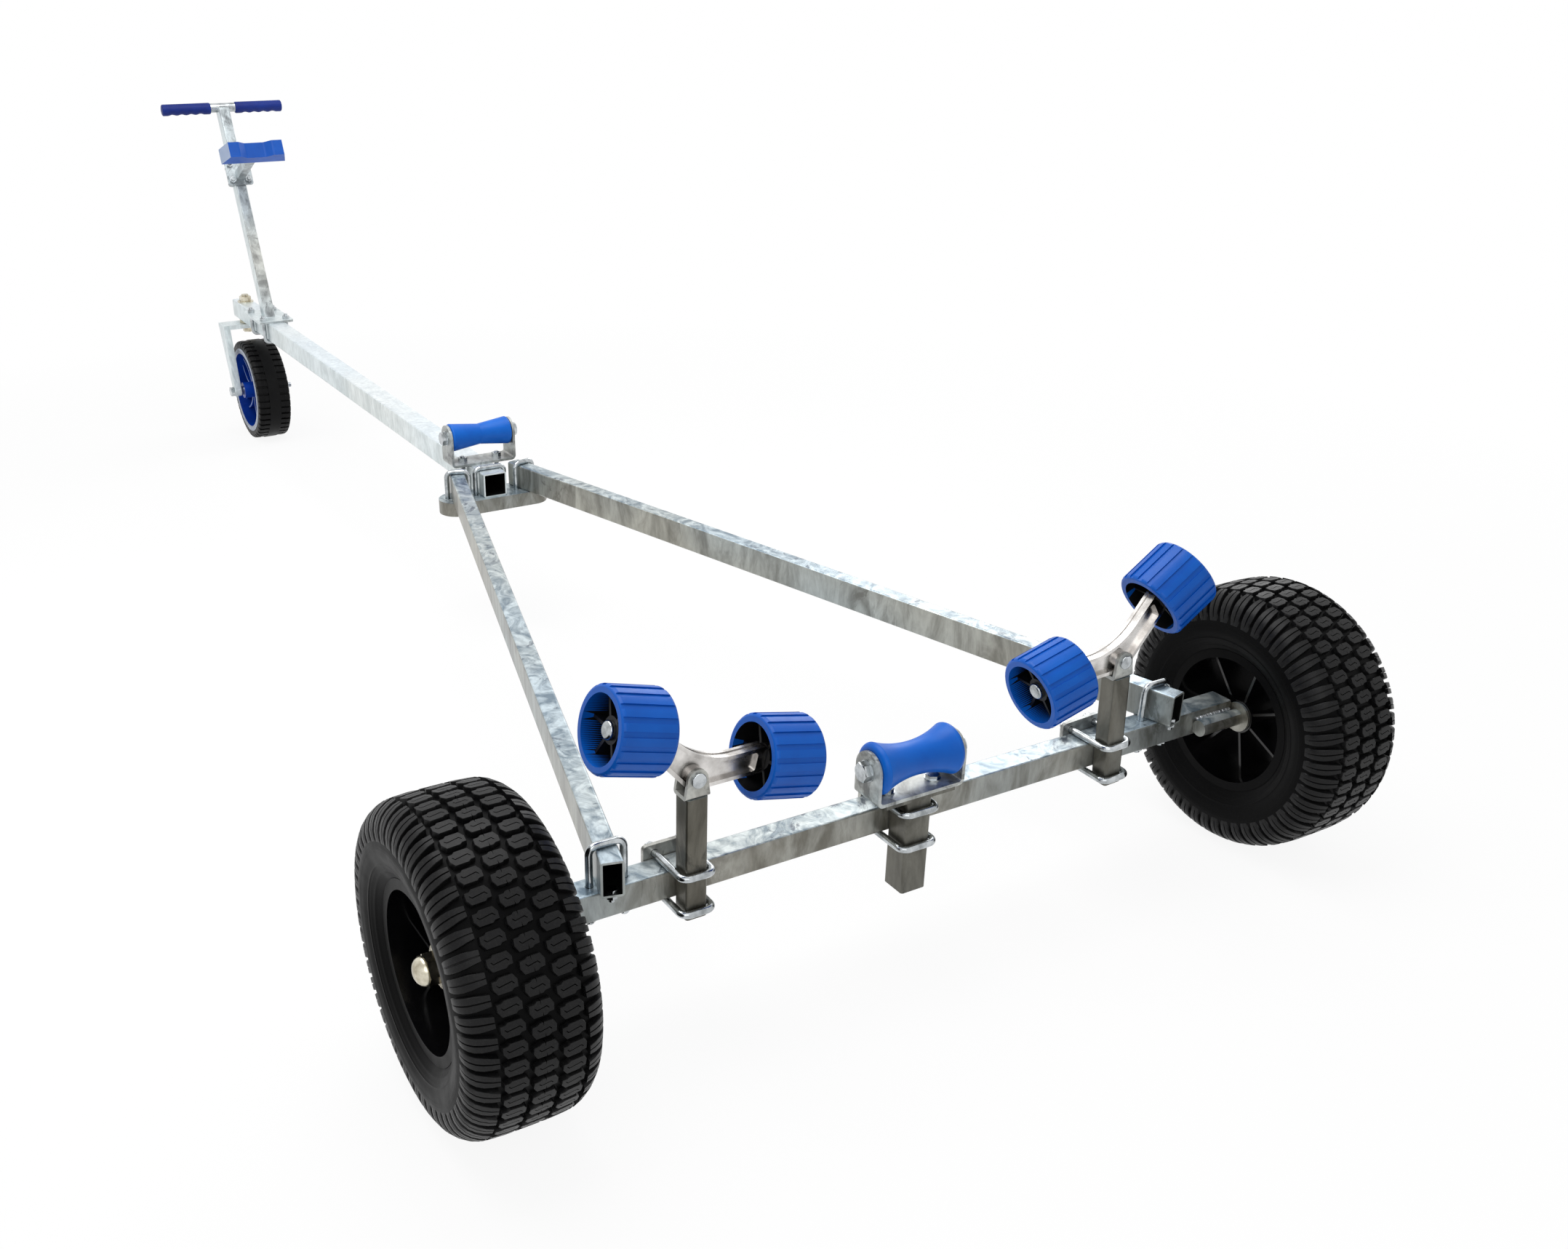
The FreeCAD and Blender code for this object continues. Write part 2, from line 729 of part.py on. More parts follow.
def make_yoke(side):
    """Strap bent into a U on the top of a rocker post, its ears in front of and behind the rocker."""
    inner = yoke_inner()
    outer = inner + yoke_wall
    half = yoke_width / 2
    strap = box(-outer, outer, -half, half, -yoke_pin_rise, yoke_ear_radius)
    strap = rounded_edges(strap, yoke_corner, Y_AXIS, lambda point: point.z < 0)
    strap = strap.cut(box(-inner, inner, -half - overrun, half + overrun, yoke_wall - yoke_pin_rise,
                          yoke_ear_radius + overrun))
    ear = outline([V(-outer, half, -yoke_pin_rise), V(-outer, yoke_ear_radius, 0),
                   (V(-outer, 0, yoke_ear_radius), V(-outer, -yoke_ear_radius, 0)),
                   V(-outer, -half, -yoke_pin_rise)])
    ears = Part.Face(ear).extrude(V(2 * outer, 0, 0))
    hole = rod(pin_diameter / 2, 2 * outer + 2 * overrun, V(-outer - overrun, 0, 0), X_AXIS)
    yoke = strap.common(ears).cut(hole)
    return on_stand(yoke.translated(pivot_on_post()), side)


def make_rocker_pin(side):
    """Pin through the yoke with a rounded head at each end."""
    outer = yoke_inner() + yoke_wall
    shank = rod(pin_diameter / 2, 2 * outer, V(-outer, 0, 0), X_AXIS)
    heads = [domed_rod(pin_head_diameter / 2, pin_head_height, pin_head_round, V(end * outer, 0, 0),
                       V(end, 0, 0)) for end in (1, -1)]
    return on_stand(fuse([shank] + heads).translated(pivot_on_post()), side)


def roller_rise(side, outward):
    """Rise in degrees of the outboard end of a roller at rest."""
    if side > 0:
        return roller_rise_left_outer if outward > 0 else roller_rise_left_inner
    return roller_rise_right_outer if outward < 0 else roller_rise_right_inner


def rocker_tip(outward):
    """Middle of an arm's end on a level rocker, relative to the pivot."""
    rise = math.radians(rocker_arm_rise)
    return V(0, outward * rocker_tip_reach * math.cos(rise), rocker_tip_reach * math.sin(rise))


def roller_seat(side, outward):
    """Centre and axis of a roller on a level rocker, relative to the pivot.

    outward is 1 for the arm towards +Y and -1 for the other. The axis points away from
    the pivot.
    """
    rise = math.radians(roller_rise(side, outward))
    outer = 1 if side == outward else -1
    axis = Part.Vertex(V(0, outer * side * math.cos(rise), outer * math.sin(rise)))
    level = turned(axis, ORIGIN, X_AXIS, -rocker_tilt(side)).Point
    return rocker_tip(outward) + level * (roller_hub_length / 2 + side_clearance), level


def rocker_tilt(side):
    """Turn of a rocker about X at rest, outboard end up."""
    return rocker_rest_tilt_left if side > 0 else -rocker_rest_tilt_right


def tilted(shape, side):
    """Put a shape made on a level rocker in its place at rest."""
    return turned(shape, ORIGIN, X_AXIS, rocker_tilt(side)).translated(rocker_centre(side))


def bend_reach(height, offset):
    """Reach along an arm at which its edge, offset from its middle, bends to cross Z at a height."""
    rise = math.radians(rocker_arm_rise)
    crossing = offset / math.cos(rise)
    bend_radius = (height - crossing) / (1 / math.cos(rise) - 1)
    return (offset + bend_radius) * math.tan(rise)


def rocker_profile():
    """Side view of a level rocker in the YZ plane: two straight arms, joined by an arc on each side."""
    rise = math.radians(rocker_arm_rise)
    half = rocker_arm_depth / 2
    sides = []
    for outward in (1, -1):
        direction = V(0, outward * math.cos(rise), math.sin(rise))
        normal = V(0, -outward * math.sin(rise), math.cos(rise))
        end = rocker_tip(outward) + direction * half
        sides.append((direction * bend_reach(-rocker_under_drop, -half) - normal * half, end - normal * half,
                      end + normal * half, direction * bend_reach(rocker_valley_rise, half) + normal * half))
    near, far = sides
    return Part.Face(outline([near[1], near[2], near[3], (V(0, 0, rocker_valley_rise), far[3]),
                              far[2], far[1], far[0], (V(0, 0, -rocker_under_drop), near[0])]))


def beyond_end(side, outward, setback):
    """Block past the end of one rocker arm, square to its roller's axis."""
    seat, axis = roller_seat(side, outward)
    size = rocker_tip_reach
    block = box(-size, size, -size, size, -setback, size)
    block.Placement = FreeCAD.Placement(rocker_tip(outward), FreeCAD.Rotation(Z_AXIS, axis))
    return block


def rocker_pocket(side):
    """Hollow of the side of a rocker, round at its ends, with the hub's boss left standing in it."""
    inner = rocker_profile().makeOffset2D(-rocker_flange_thickness - rocker_pocket_round)
    inner = inner.makeOffset2D(rocker_pocket_round)
    depth = (rocker_flange_width - rocker_web_thickness) / 2
    hollow = inner.extrude(V(depth + overrun, 0, 0))
    ends = [beyond_end(side, outward, rocker_end_land) for outward in (1, -1)]
    boss = rod(rocker_hub_radius, depth + 2 * overrun, V(-overrun, 0, 0), X_AXIS)
    hollow = hollow.cut(ends + [boss])
    return rounded_edges(hollow, rocker_pocket_round, X_AXIS,
                         lambda point: abs(point.y) > rocker_tip_reach / 2)


def make_rocker(side):
    """Cast rocker: a boss on the pin, two pocketed arms that rise to the rollers, a grooved top."""
    half = rocker_flange_width / 2
    body = rocker_profile().extrude(V(rocker_flange_width, 0, 0)).translated(V(-half, 0, 0))
    body = body.cut([beyond_end(side, outward, 0) for outward in (1, -1)])
    body = rounded_edges(body, rocker_end_round, X_AXIS,
                         lambda point: abs(point.y) > rocker_tip_reach / 2)
    pocket = rocker_pocket(side)
    near = pocket.translated(V(rocker_web_thickness / 2, 0, 0))
    far = pocket.mirror(ORIGIN, X_AXIS).translated(V(-rocker_web_thickness / 2, 0, 0))
    strip = rocker_profile().extrude(V(rocker_groove_width, 0, 0))
    strip = strip.translated(V(-rocker_groove_width / 2, 0, 0))
    groove = strip.cut(body.translated(V(0, 0, -rocker_groove_depth)))
    bore = rod(pin_diameter / 2 + running_clearance, rocker_flange_width + 2 * overrun,
               V(-half - overrun, 0, 0), X_AXIS)
    shanks = [roller_shank(side, outward) for outward in (1, -1)]
    return tilted(body.cut([near, far, groove, bore] + shanks), side)


def roller_shank(side, outward):
    """Round part of a roller's bolt, from its seat in a level rocker's arm to its head."""
    centre, axis = roller_seat(side, outward)
    reach = roller_hub_length / 2 + side_clearance
    return rod(roller_bolt_diameter / 2, 2 * reach + roller_bolt_seat,
               centre - axis * (reach + roller_bolt_seat), axis)


def make_roller_bolts(side):
    """The two bolts that carry the rollers of a rocker, with domed heads at their far ends."""
    bolts = []
    for outward in (1, -1):
        centre, axis = roller_seat(side, outward)
        seat = centre + axis * (roller_hub_length / 2 + side_clearance)
        head = domed_rod(roller_bolt_head_diameter / 2, roller_bolt_head_height, roller_bolt_head_round,
                         seat, axis)
        bolts.append(tilted(fuse([roller_shank(side, outward), head]), side))
    return Part.makeCompound(bolts)


def in_roller(shape, side, outward):
    """Put a shape made along +Z about the origin in the place of a roller."""
    centre, axis = roller_seat(side, outward)
    placed = shape.copy()
    placed.Placement = FreeCAD.Placement(centre, FreeCAD.Rotation(Z_AXIS, axis))
    return tilted(placed, side)


def roller_drum():
    """Ribbed drum about the Z axis: valleys along it between broad ribs, and rounded ends."""
    radius = roller_diameter / 2
    end = roller_end_diameter / 2
    half = roller_length / 2
    straight = half - roller_end_round
    bore = radius - roller_wall
    bend = math.sqrt(0.5)
    across = end + (radius - end) * bend
    over = straight + roller_end_round * bend
    wire = outline([V(radius, straight, 0), (V(across, over, 0), V(end, half, 0)), V(bore, half, 0),
                    V(bore, -half, 0), V(end, -half, 0), (V(across, -over, 0), V(radius, -straight, 0))])
    drum = turned(revolve_wire(wire, ORIGIN), ORIGIN, X_AXIS, QUARTER_TURN)
    valleys = []
    for i in range(roller_rib_count):
        valley = box(radius - roller_rib_step, radius + overrun, -roller_valley_width / 2,
                     roller_valley_width / 2, -half - overrun, half + overrun)
        valleys.append(turned(valley, ORIGIN, Z_AXIS, i * 2 * HALF_TURN / roller_rib_count))
    return drum.cut(valleys)


def make_roller(side, outward):
    """Ribbed roller: an open drum, a web, a hub and thin spokes."""
    bore_radius = roller_diameter / 2 - roller_wall
    web = rod(bore_radius, roller_web_thickness, V(0, 0, -roller_web_thickness / 2), Z_AXIS)
    hub = rod(roller_hub_diameter / 2, roller_hub_length, V(0, 0, -roller_hub_length / 2), Z_AXIS)
    spokes = []
    for i in range(roller_spoke_count):
        spoke = box(roller_hub_diameter / 4, bore_radius, -roller_spoke_thickness / 2,
                    roller_spoke_thickness / 2, -roller_hub_length / 2, roller_hub_length / 2)
        spokes.append(turned(spoke, ORIGIN, Z_AXIS, i * 2 * HALF_TURN / roller_spoke_count))
    bore = rod(roller_bolt_diameter / 2 + running_clearance, roller_hub_length + 2 * overrun,
               V(0, 0, -roller_hub_length / 2 - overrun), Z_AXIS)
    roller = fuse([roller_drum(), web, hub] + spokes).cut(bore)
    return in_roller(roller, side, outward)


def keel_centre(place):
    """Point under the middle of a keel roller bracket, on the face that carries it."""
    if place == "front":
        return V(keel_reach_front, bracket_offset_front, drawbar_section)
    seat = keel_post_above + keel_top_plate_thickness
    return V(beam_rear - keel_post_depth / 2 + bracket_lead, bracket_offset_rear, seat)


def axle_rise(place):
    """Height of a keel roller's axle over the foot of its bracket; the front one has longer ears."""
    return bracket_axle_rise_front if place == "front" else bracket_axle_rise_rear


def make_keel_bracket(place):
    """Pressed U bracket with two round-topped ears and two bolt holes in its base."""
    half = bracket_width / 2
    depth = bracket_depth / 2
    rise = axle_rise(place)
    top = rise + depth
    inner = half - bracket_wall
    strap = box(-depth, depth, -half, half, 0, top)
    strap = rounded_edges(strap, bracket_corner, X_AXIS, lambda point: point.z < bracket_wall)
    hollow = box(-depth - overrun, depth + overrun, -inner, inner, bracket_wall, top + overrun)
    hollow = rounded_edges(hollow, bracket_corner - bracket_wall, X_AXIS,
                           lambda point: point.z < 2 * bracket_wall)
    ear = outline([V(depth, -half, 0), V(depth, -half, rise), (V(0, -half, top), V(-depth, -half, rise)),
                   V(-depth, -half, 0)])
    ears = Part.Face(ear).extrude(V(0, bracket_width, 0))
    cutters = [rod(keel_axle_diameter / 2, bracket_width + 2 * overrun,
                   V(0, -half - overrun, rise), Y_AXIS)]
    for side in (1, -1):
        cutters.append(rod(rod_diameter / 2 + bolt_clearance, bracket_wall + 2 * overrun,
                           V(0, side * bracket_bolt_spacing / 2, -overrun), Z_AXIS))
    return strap.common(ears).cut([hollow] + cutters).translated(keel_centre(place))


def make_keel_axle(place):
    """Bolt through both ears with a washer and a hexagon at each end."""
    half = bracket_width / 2
    rise = axle_rise(place)
    pieces = [rod(keel_axle_diameter / 2, bracket_width, V(0, -half, rise), Y_AXIS)]
    for end in (1, -1):
        outward = V(0, end, 0)
        pieces.append(rod(keel_washer_diameter / 2, keel_washer_thickness, V(0, end * half, rise), outward))
        seat = V(0, end * (half + keel_washer_thickness), rise)
        pieces.append(chamfered_hexagon(keel_bolt_head_flats, keel_bolt_head_height, seat, outward))
    return fuse(pieces).translated(keel_centre(place))


def make_keel_roller(place):
    """Roller that narrows to its waist: hollow-sided at the rear, two cones at the front."""
    half = keel_roller_length / 2
    bore = keel_axle_diameter / 2 + running_clearance
    bend = math.sqrt(0.5)
    if place == "front":
        end = keel_front_end_diameter / 2
        waist = V(keel_front_waist_diameter / 2, 0, 0)
        bevel = keel_front_end_round
    else:
        end = keel_rear_end_diameter / 2
        waist = V(keel_rear_waist_diameter / 2, 0, 0)
        bevel = keel_rear_end_round
    foot = end - bevel
    land = half - bevel
    near = V(end, land, 0)
    far = V(end, -land, 0)
    flank = [waist, far] if place == "front" else [(waist, far)]
    wire = outline([V(bore, half, 0), V(foot, half, 0),
                    (V(foot + bevel * bend, land + bevel * bend, 0), near)] + flank +
                   [(V(foot + bevel * bend, -land - bevel * bend, 0), V(foot, -half, 0)),
                    V(bore, -half, 0)])
    return revolve_wire(wire, keel_centre(place) + V(0, 0, axle_rise(place)))


def make_keel_post():
    """Short post clamped behind the beam, with the plate that carries the rear bracket."""
    tube = upright_tube(keel_post_width, keel_post_depth, -keel_post_below, keel_post_above)
    centre = keel_centre("rear")
    half = keel_top_plate_width / 2
    depth = bracket_depth / 2
    plate = box(centre.x - depth, centre.x + depth, centre.y - half, centre.y + half,
                keel_post_above, keel_post_above + keel_top_plate_thickness)
    holes = [rod(small_bolt_diameter / 2 + bolt_clearance, keel_top_plate_thickness + 2 * overrun,
                 V(centre.x, centre.y + side * bracket_bolt_spacing / 2, keel_post_above - overrun),
                 Z_AXIS) for side in (1, -1)]
    return fuse([tube.translated(V(0, keel_post_offset, 0)), plate.cut(holes)])


def make_bracket_bolts():
    """Rear bracket's two bolts, and the wide U-bolt under the drawbar that holds the front one."""
    centre = keel_centre("rear")
    grip = keel_top_plate_thickness + bracket_wall
    washer_seat = keel_post_above + grip
    pieces = []
    for side in (1, -1):
        place = V(centre.x, centre.y + side * bracket_bolt_spacing / 2, 0)
        low = keel_post_above - nut_height
        shank = rod(small_bolt_diameter / 2, grip + nut_height, place + V(0, 0, low), Z_AXIS)
        nut = hexagon(small_bolt_head_flats, nut_height, place + V(0, 0, low), Z_AXIS)
        washer = rod(small_washer_diameter / 2, small_washer_thickness, place + V(0, 0, washer_seat), Z_AXIS)
        head = hexagon(small_bolt_head_flats, small_bolt_head_height,
                       place + V(0, 0, washer_seat + small_washer_thickness), Z_AXIS)
        pieces.append(fuse([shank, nut, washer, head]))
    bolt = u_bolt(bracket_bolt_spacing - rod_diameter, drawbar_section + bracket_wall, keel_thread_stand)
    bolt = turned(bolt, ORIGIN, X_AXIS, HALF_TURN)
    pieces.append(bolt.translated(V(keel_reach_front, bracket_offset_front, 0)))
    return Part.makeCompound(pieces)


def on_post(shape):
    """Put a shape made about a post standing on the Z axis in its leaning place."""
    leaning = turned(shape, ORIGIN, Y_AXIS, post_lean)
    return leaning.translated(V(post_reach, 0, drawbar_section + foot_plate_thickness))


def make_handle_post():
    """Leaning box section welded on its foot plate, with a saddle at the top for the bar."""
    skirt = post_depth * math.tan(math.radians(post_lean))
    tube = box_tube(post_length + skirt, post_width, post_depth)
    tube = turned(tube.translated(V(-skirt, 0, -post_depth / 2)), ORIGIN, Y_AXIS, -QUARTER_TURN)
    tube = tube.cut(rod(bar_diameter / 2, post_width + 2 * overrun,
                        V(0, -post_width / 2 - overrun, bar_height()), Y_AXIS))
    leaning = on_post(tube)
    half_length = foot_plate_length / 2
    seat = drawbar_section
    below = box(post_reach - foot_plate_length, post_reach + foot_plate_length,
                -foot_plate_width, foot_plate_width, seat - post_length, seat + foot_plate_thickness)
    leaning = leaning.cut(below)
    plate = box(post_reach - half_length, post_reach + half_length, -foot_plate_width / 2,
                foot_plate_width / 2, seat, seat + foot_plate_thickness)
    plate = rounded_edges(plate, foot_plate_corner, Z_AXIS, lambda point: True)
    leg_y = drawbar_section / 2 + u_gap + rod_diameter / 2
    holes = [rod(rod_diameter / 2 + bolt_clearance, foot_plate_thickness + 2 * overrun,
                 V(post_reach + end * foot_bolt_pitch / 2, side * leg_y, seat - overrun), Z_AXIS)
             for end in (1, -1) for side in (1, -1)]
    return fuse([leaning, plate.cut(holes)])


def bar_height():
    """Height of the T bar's axis up the leaning post."""
    return post_length + bar_diameter / 4


def make_handle_bar():
    """Round tube across the top of the post."""
    half = bar_length / 2
    tube = rod(bar_diameter / 2, bar_length, V(0, -half, bar_height()), Y_AXIS)
    hollow = rod(bar_diameter / 2 - bar_wall, bar_length + 2 * overrun,
                 V(0, -half - overrun, bar_height()), Y_AXIS)
    return on_post(tube.cut(hollow))


def make_hand_grip(side):
    """Moulded grip, straight above and hollowed for the fingers below, closed over the bar's end."""
    radius = grip_diameter / 2
    outer_end = bar_length / 2 + grip_end_cap
    start = outer_end - grip_length
    pitch = (grip_length - grip_end_round) / grip_wave_count
    crest = grip_drop + radius
    wave_radius = (pitch ** 2 / 4 + grip_wave_depth ** 2) / (2 * grip_wave_depth)
    body = domed_rod(radius, grip_length, grip_end_round, V(0, start, -grip_drop), Y_AXIS)
    waves = [rod(wave_radius, 2 * (radius + overrun),
                 V(-radius - overrun, start + (i + 1 / 2) * pitch, grip_wave_depth - crest - wave_radius),
                 X_AXIS) for i in range(grip_wave_count)]
    bore = rod(bar_diameter / 2, grip_length - grip_end_cap + overrun, V(0, start - overrun, 0), Y_AXIS)
    grip = turned(body.cut(waves + [bore]), ORIGIN, Z_AXIS, 0 if side > 0 else HALF_TURN)
    return on_post(grip.translated(V(0, 0, bar_height())))


def make_post_bolts():
    """U-bolts round the drawbar and round the post, as four separate solids."""
    pieces = []
    for end in (1, -1):
        bolt = u_bolt(drawbar_section + 2 * u_gap, drawbar_section + foot_plate_thickness)
        bolt = turned(bolt, ORIGIN, X_AXIS, HALF_TURN)
        pieces.append(bolt.translated(V(post_reach + end * foot_bolt_pitch / 2, 0, 0)))
    for end in (1, -1):
        bolt = u_bolt(post_width + 2 * u_gap, post_depth + snubber_plate_thickness)
        bolt = turned(bolt, ORIGIN, Y_AXIS, QUARTER_TURN)
        height = snubber_rise + end * snubber_bolt_pitch / 2
        pieces.append(on_post(bolt.translated(V(post_depth / 2, 0, height))))
    return Part.makeCompound(pieces)


def make_snubber_bracket():
    """Plate clamped to the back of the post with a strut towards the boat."""
    back = -post_depth / 2
    half_width = snubber_plate_width / 2
    half_height = snubber_plate_height / 2
    plate = box(back - snubber_plate_thickness, back, -half_width, half_width,
                snubber_rise - half_height, snubber_rise + half_height)
    plate = rounded_edges(plate, snubber_plate_corner, X_AXIS, lambda point: True)
    leg_y = post_width / 2 + u_gap + rod_diameter / 2
    holes = [rod(rod_diameter / 2 + bolt_clearance, snubber_plate_thickness + 2 * overrun,
                 V(back - snubber_plate_thickness - overrun, side * leg_y,
                   snubber_rise + end * snubber_bolt_pitch / 2), X_AXIS)
             for end in (1, -1) for side in (1, -1)]
    strut_rise = snubber_rise - strut_drop
    strut = box(back - snubber_plate_thickness - strut_length, back - snubber_plate_thickness,
                -strut_section / 2, strut_section / 2, strut_rise - strut_section / 2,
                strut_rise + strut_section / 2)
    return on_post(fuse([plate.cut(holes), strut]))


def make_snubber_block():
    """Rubber block with a shallow notch for the stem between two raised pads."""
    front = -post_depth / 2 - snubber_plate_thickness - strut_length
    back_half = snubber_back_width / 2
    half = snubber_face_width / 2
    face = front - snubber_pad_depth
    notch = face + snubber_notch_depth
    lip, floor = [half * share for share in snubber_notch_shares]
    corners = [V(front, back_half, 0), V(face, half, 0), V(face, lip, 0), V(notch, floor, 0),
               V(notch, -floor, 0), V(face, -lip, 0), V(face, -half, 0), V(front, -back_half, 0)]
    block = Part.Face(outline(corners)).extrude(V(0, 0, snubber_height))
    block = rounded_edges(block, snubber_crease_round, Z_AXIS,
                          lambda point: point.x < notch + overrun and abs(point.y) < half - overrun)
    return on_post(block.translated(V(0, 0, snubber_rise - strut_drop - snubber_height / 2)))


def make_castor_bolt():
    """Vertical bolt through the drawbar, with a washer and a nut on top and a head below."""
    low = -castor_plate_gap - castor_plate_thickness - side_clearance
    top = drawbar_section + castor_washer_thickness + castor_nut_height + thread_stand
    shank = rod(castor_bolt_diameter / 2, top - low, V(0, 0, low), Z_AXIS)
    spacer = rod(castor_washer_diameter / 2, castor_plate_gap - side_clearance,
                 V(0, 0, side_clearance - castor_plate_gap), Z_AXIS)
    washer = rod(castor_washer_diameter / 2, castor_washer_thickness, V(0, 0, drawbar_section), Z_AXIS)
    nut = chamfered_hexagon(castor_nut_flats, castor_nut_height,
                            V(0, 0, drawbar_section + castor_washer_thickness), Z_AXIS)
    head = hexagon(castor_nut_flats, castor_nut_height, V(0, 0, low - castor_nut_height), Z_AXIS)
    return fuse([shank, spacer, washer, nut, head]).translated(V(castor_pivot_reach, 0, 0))


def castor_bar_face():
    """Sideways place of the inner face of the castor's leg."""
    return jockey_hub_length / 2 + side_clearance + jockey_spacer_length


def make_castor_fork():
    """One-sided castor fork: a plate under the drawbar and a leg down to the axle."""
    top = -castor_plate_gap
    low = top - castor_plate_thickness
    inner = castor_bar_face()
    outer = inner + castor_bar_thickness
    half = castor_plate_width / 2
    pivot_x = castor_pivot_reach
    plate = fuse([rod(half, castor_plate_thickness, V(pivot_x, 0, low), Z_AXIS),
                  box(pivot_x - half, pivot_x + half, 0, outer, low, top)])
    half_bar = castor_bar_width / 2
    axle_x = castor_axle_reach
    outline = [V(pivot_x - half, inner, top), V(pivot_x + half, inner, top),
               V(axle_x + half_bar, inner, -castor_axle_drop),
               V(axle_x - half_bar, inner, -castor_axle_drop)]
    leg = Part.Face(Part.makePolygon(outline + outline[:1])).extrude(V(0, castor_bar_thickness, 0))
    foot = rod(half_bar, castor_bar_thickness, V(axle_x, inner, -castor_axle_drop), Y_AXIS)
    fork = fuse([plate, leg, foot])
    pivot_hole = rod(castor_bolt_diameter / 2 + running_clearance,
                     castor_plate_thickness + 2 * overrun, V(pivot_x, 0, low - overrun), Z_AXIS)
    axle_hole = rod(jockey_axle_diameter / 2, castor_bar_thickness + 2 * overrun,
                    V(axle_x, inner - overrun, -castor_axle_drop), Y_AXIS)
    return fork.cut([pivot_hole, axle_hole])


def make_jockey_axle():
    """Bolt of the castor wheel with its spacer, end washer and nuts."""
    inner = castor_bar_face()
    outer = inner + castor_bar_thickness
    far = -jockey_hub_length / 2 - side_clearance
    shank = rod(jockey_axle_diameter / 2, outer - far, V(0, far, 0), Y_AXIS)
    spacer = rod(jockey_spacer_diameter / 2, jockey_spacer_length, V(0, inner - jockey_spacer_length, 0),
                 Y_AXIS)
    near_nut = hexagon(jockey_nut_flats, jockey_nut_height, V(0, outer, 0), Y_AXIS)
    far_nut = hexagon(jockey_nut_flats, 2 * jockey_nut_height, V(0, far, 0), V(0, -1, 0))
    axle = fuse([shank, spacer, near_nut, far_nut])
    return axle.translated(V(castor_axle_reach, 0, -castor_axle_drop))


def make_jockey_tyre():
    """Solid rubber tread band of the castor wheel, with rounded edges."""
    radius = jockey_diameter / 2
    seat = jockey_rim_diameter / 2 / math.cos(math.pi / jockey_facet_count)
    half = jockey_width / 2
    edge = [(radius * rise, half * reach) for rise, reach in jockey_edge_shares]
    section = [(seat, half)] + edge
    section += [(r, -y) for r, y in reversed(section)]
    return faceted_ring([(1, section)], jockey_facet_count, V(castor_axle_reach, 0, -castor_axle_drop))


def make_jockey_rim():
    """Moulded rim of the castor wheel, with a middle web and spokes that curve apart in pairs."""
    centre = V(castor_axle_reach, 0, -castor_axle_drop)
    seat = jockey_rim_diameter / 2
    half = jockey_width / 2
    inner = seat - jockey_rim_wall
    barrel = revolve_about_y([(seat, half), (inner, half), (inner, -half), (seat, -half)], centre)
    hub = rod(jockey_hub_diameter / 2, jockey_hub_length, centre - V(0, jockey_hub_length / 2, 0),
              Y_AXIS)
    web = rod(inner, jockey_spoke_thickness, centre - V(0, jockey_spoke_thickness / 2, 0), Y_AXIS)
    depth = 2 * jockey_spoke_depth
    span = rod(inner, depth, V(0, -jockey_spoke_depth, 0), Y_AXIS)
    arc = rod(jockey_spoke_radius, depth, V(0, -jockey_spoke_depth, jockey_spoke_radius), Y_AXIS)
    arc = arc.cut(rod(jockey_spoke_radius - jockey_spoke_thickness, depth,
                      V(0, -jockey_spoke_depth, jockey_spoke_radius), Y_AXIS))
    arc = arc.common(span).common(box(0, seat, -jockey_spoke_depth, jockey_spoke_depth, 0, seat))
    pair = [arc, arc.mirror(ORIGIN, Z_AXIS)]
    spokes = []
    for i in range(jockey_spoke_pair_count):
        for spoke in pair:
            spoke = turned(spoke, ORIGIN, Y_AXIS, i * 2 * HALF_TURN / jockey_spoke_pair_count)
            spokes.append(spoke.translated(centre))
    bore = rod(jockey_axle_diameter / 2 + running_clearance, jockey_hub_length + 2 * overrun,
               centre - V(0, jockey_hub_length / 2 + overrun, 0), Y_AXIS)
    return fuse([barrel, hub, web] + spokes).cut(bore)


def frame_pitch():
    """Nose-up angle at which both main wheels and the castor wheel touch the ground."""
    drop = castor_axle_drop - axle_drop
    rise = jockey_diameter / 2 - tyre_diameter / 2
    distance = math.hypot(castor_axle_reach, drop)
    return math.asin(rise / distance) + math.atan2(drop, castor_axle_reach)


def standing(shape):
    """Tip a shape back about the axle, stand it on the ground and centre it."""
    pitch = frame_pitch()
    axle = V(0, 0, -axle_drop)
    tipped = turned(shape, axle, Y_AXIS, -math.degrees(pitch))
    drop = castor_axle_drop - axle_drop
    rise = jockey_diameter / 2 - tyre_diameter / 2
    front = math.sqrt(castor_axle_reach ** 2 + drop ** 2 - rise ** 2) + jockey_diameter / 2
    middle = (front - tyre_diameter / 2) / 2
    return tipped.translated(V(-middle, 0, axle_drop + tyre_diameter / 2))


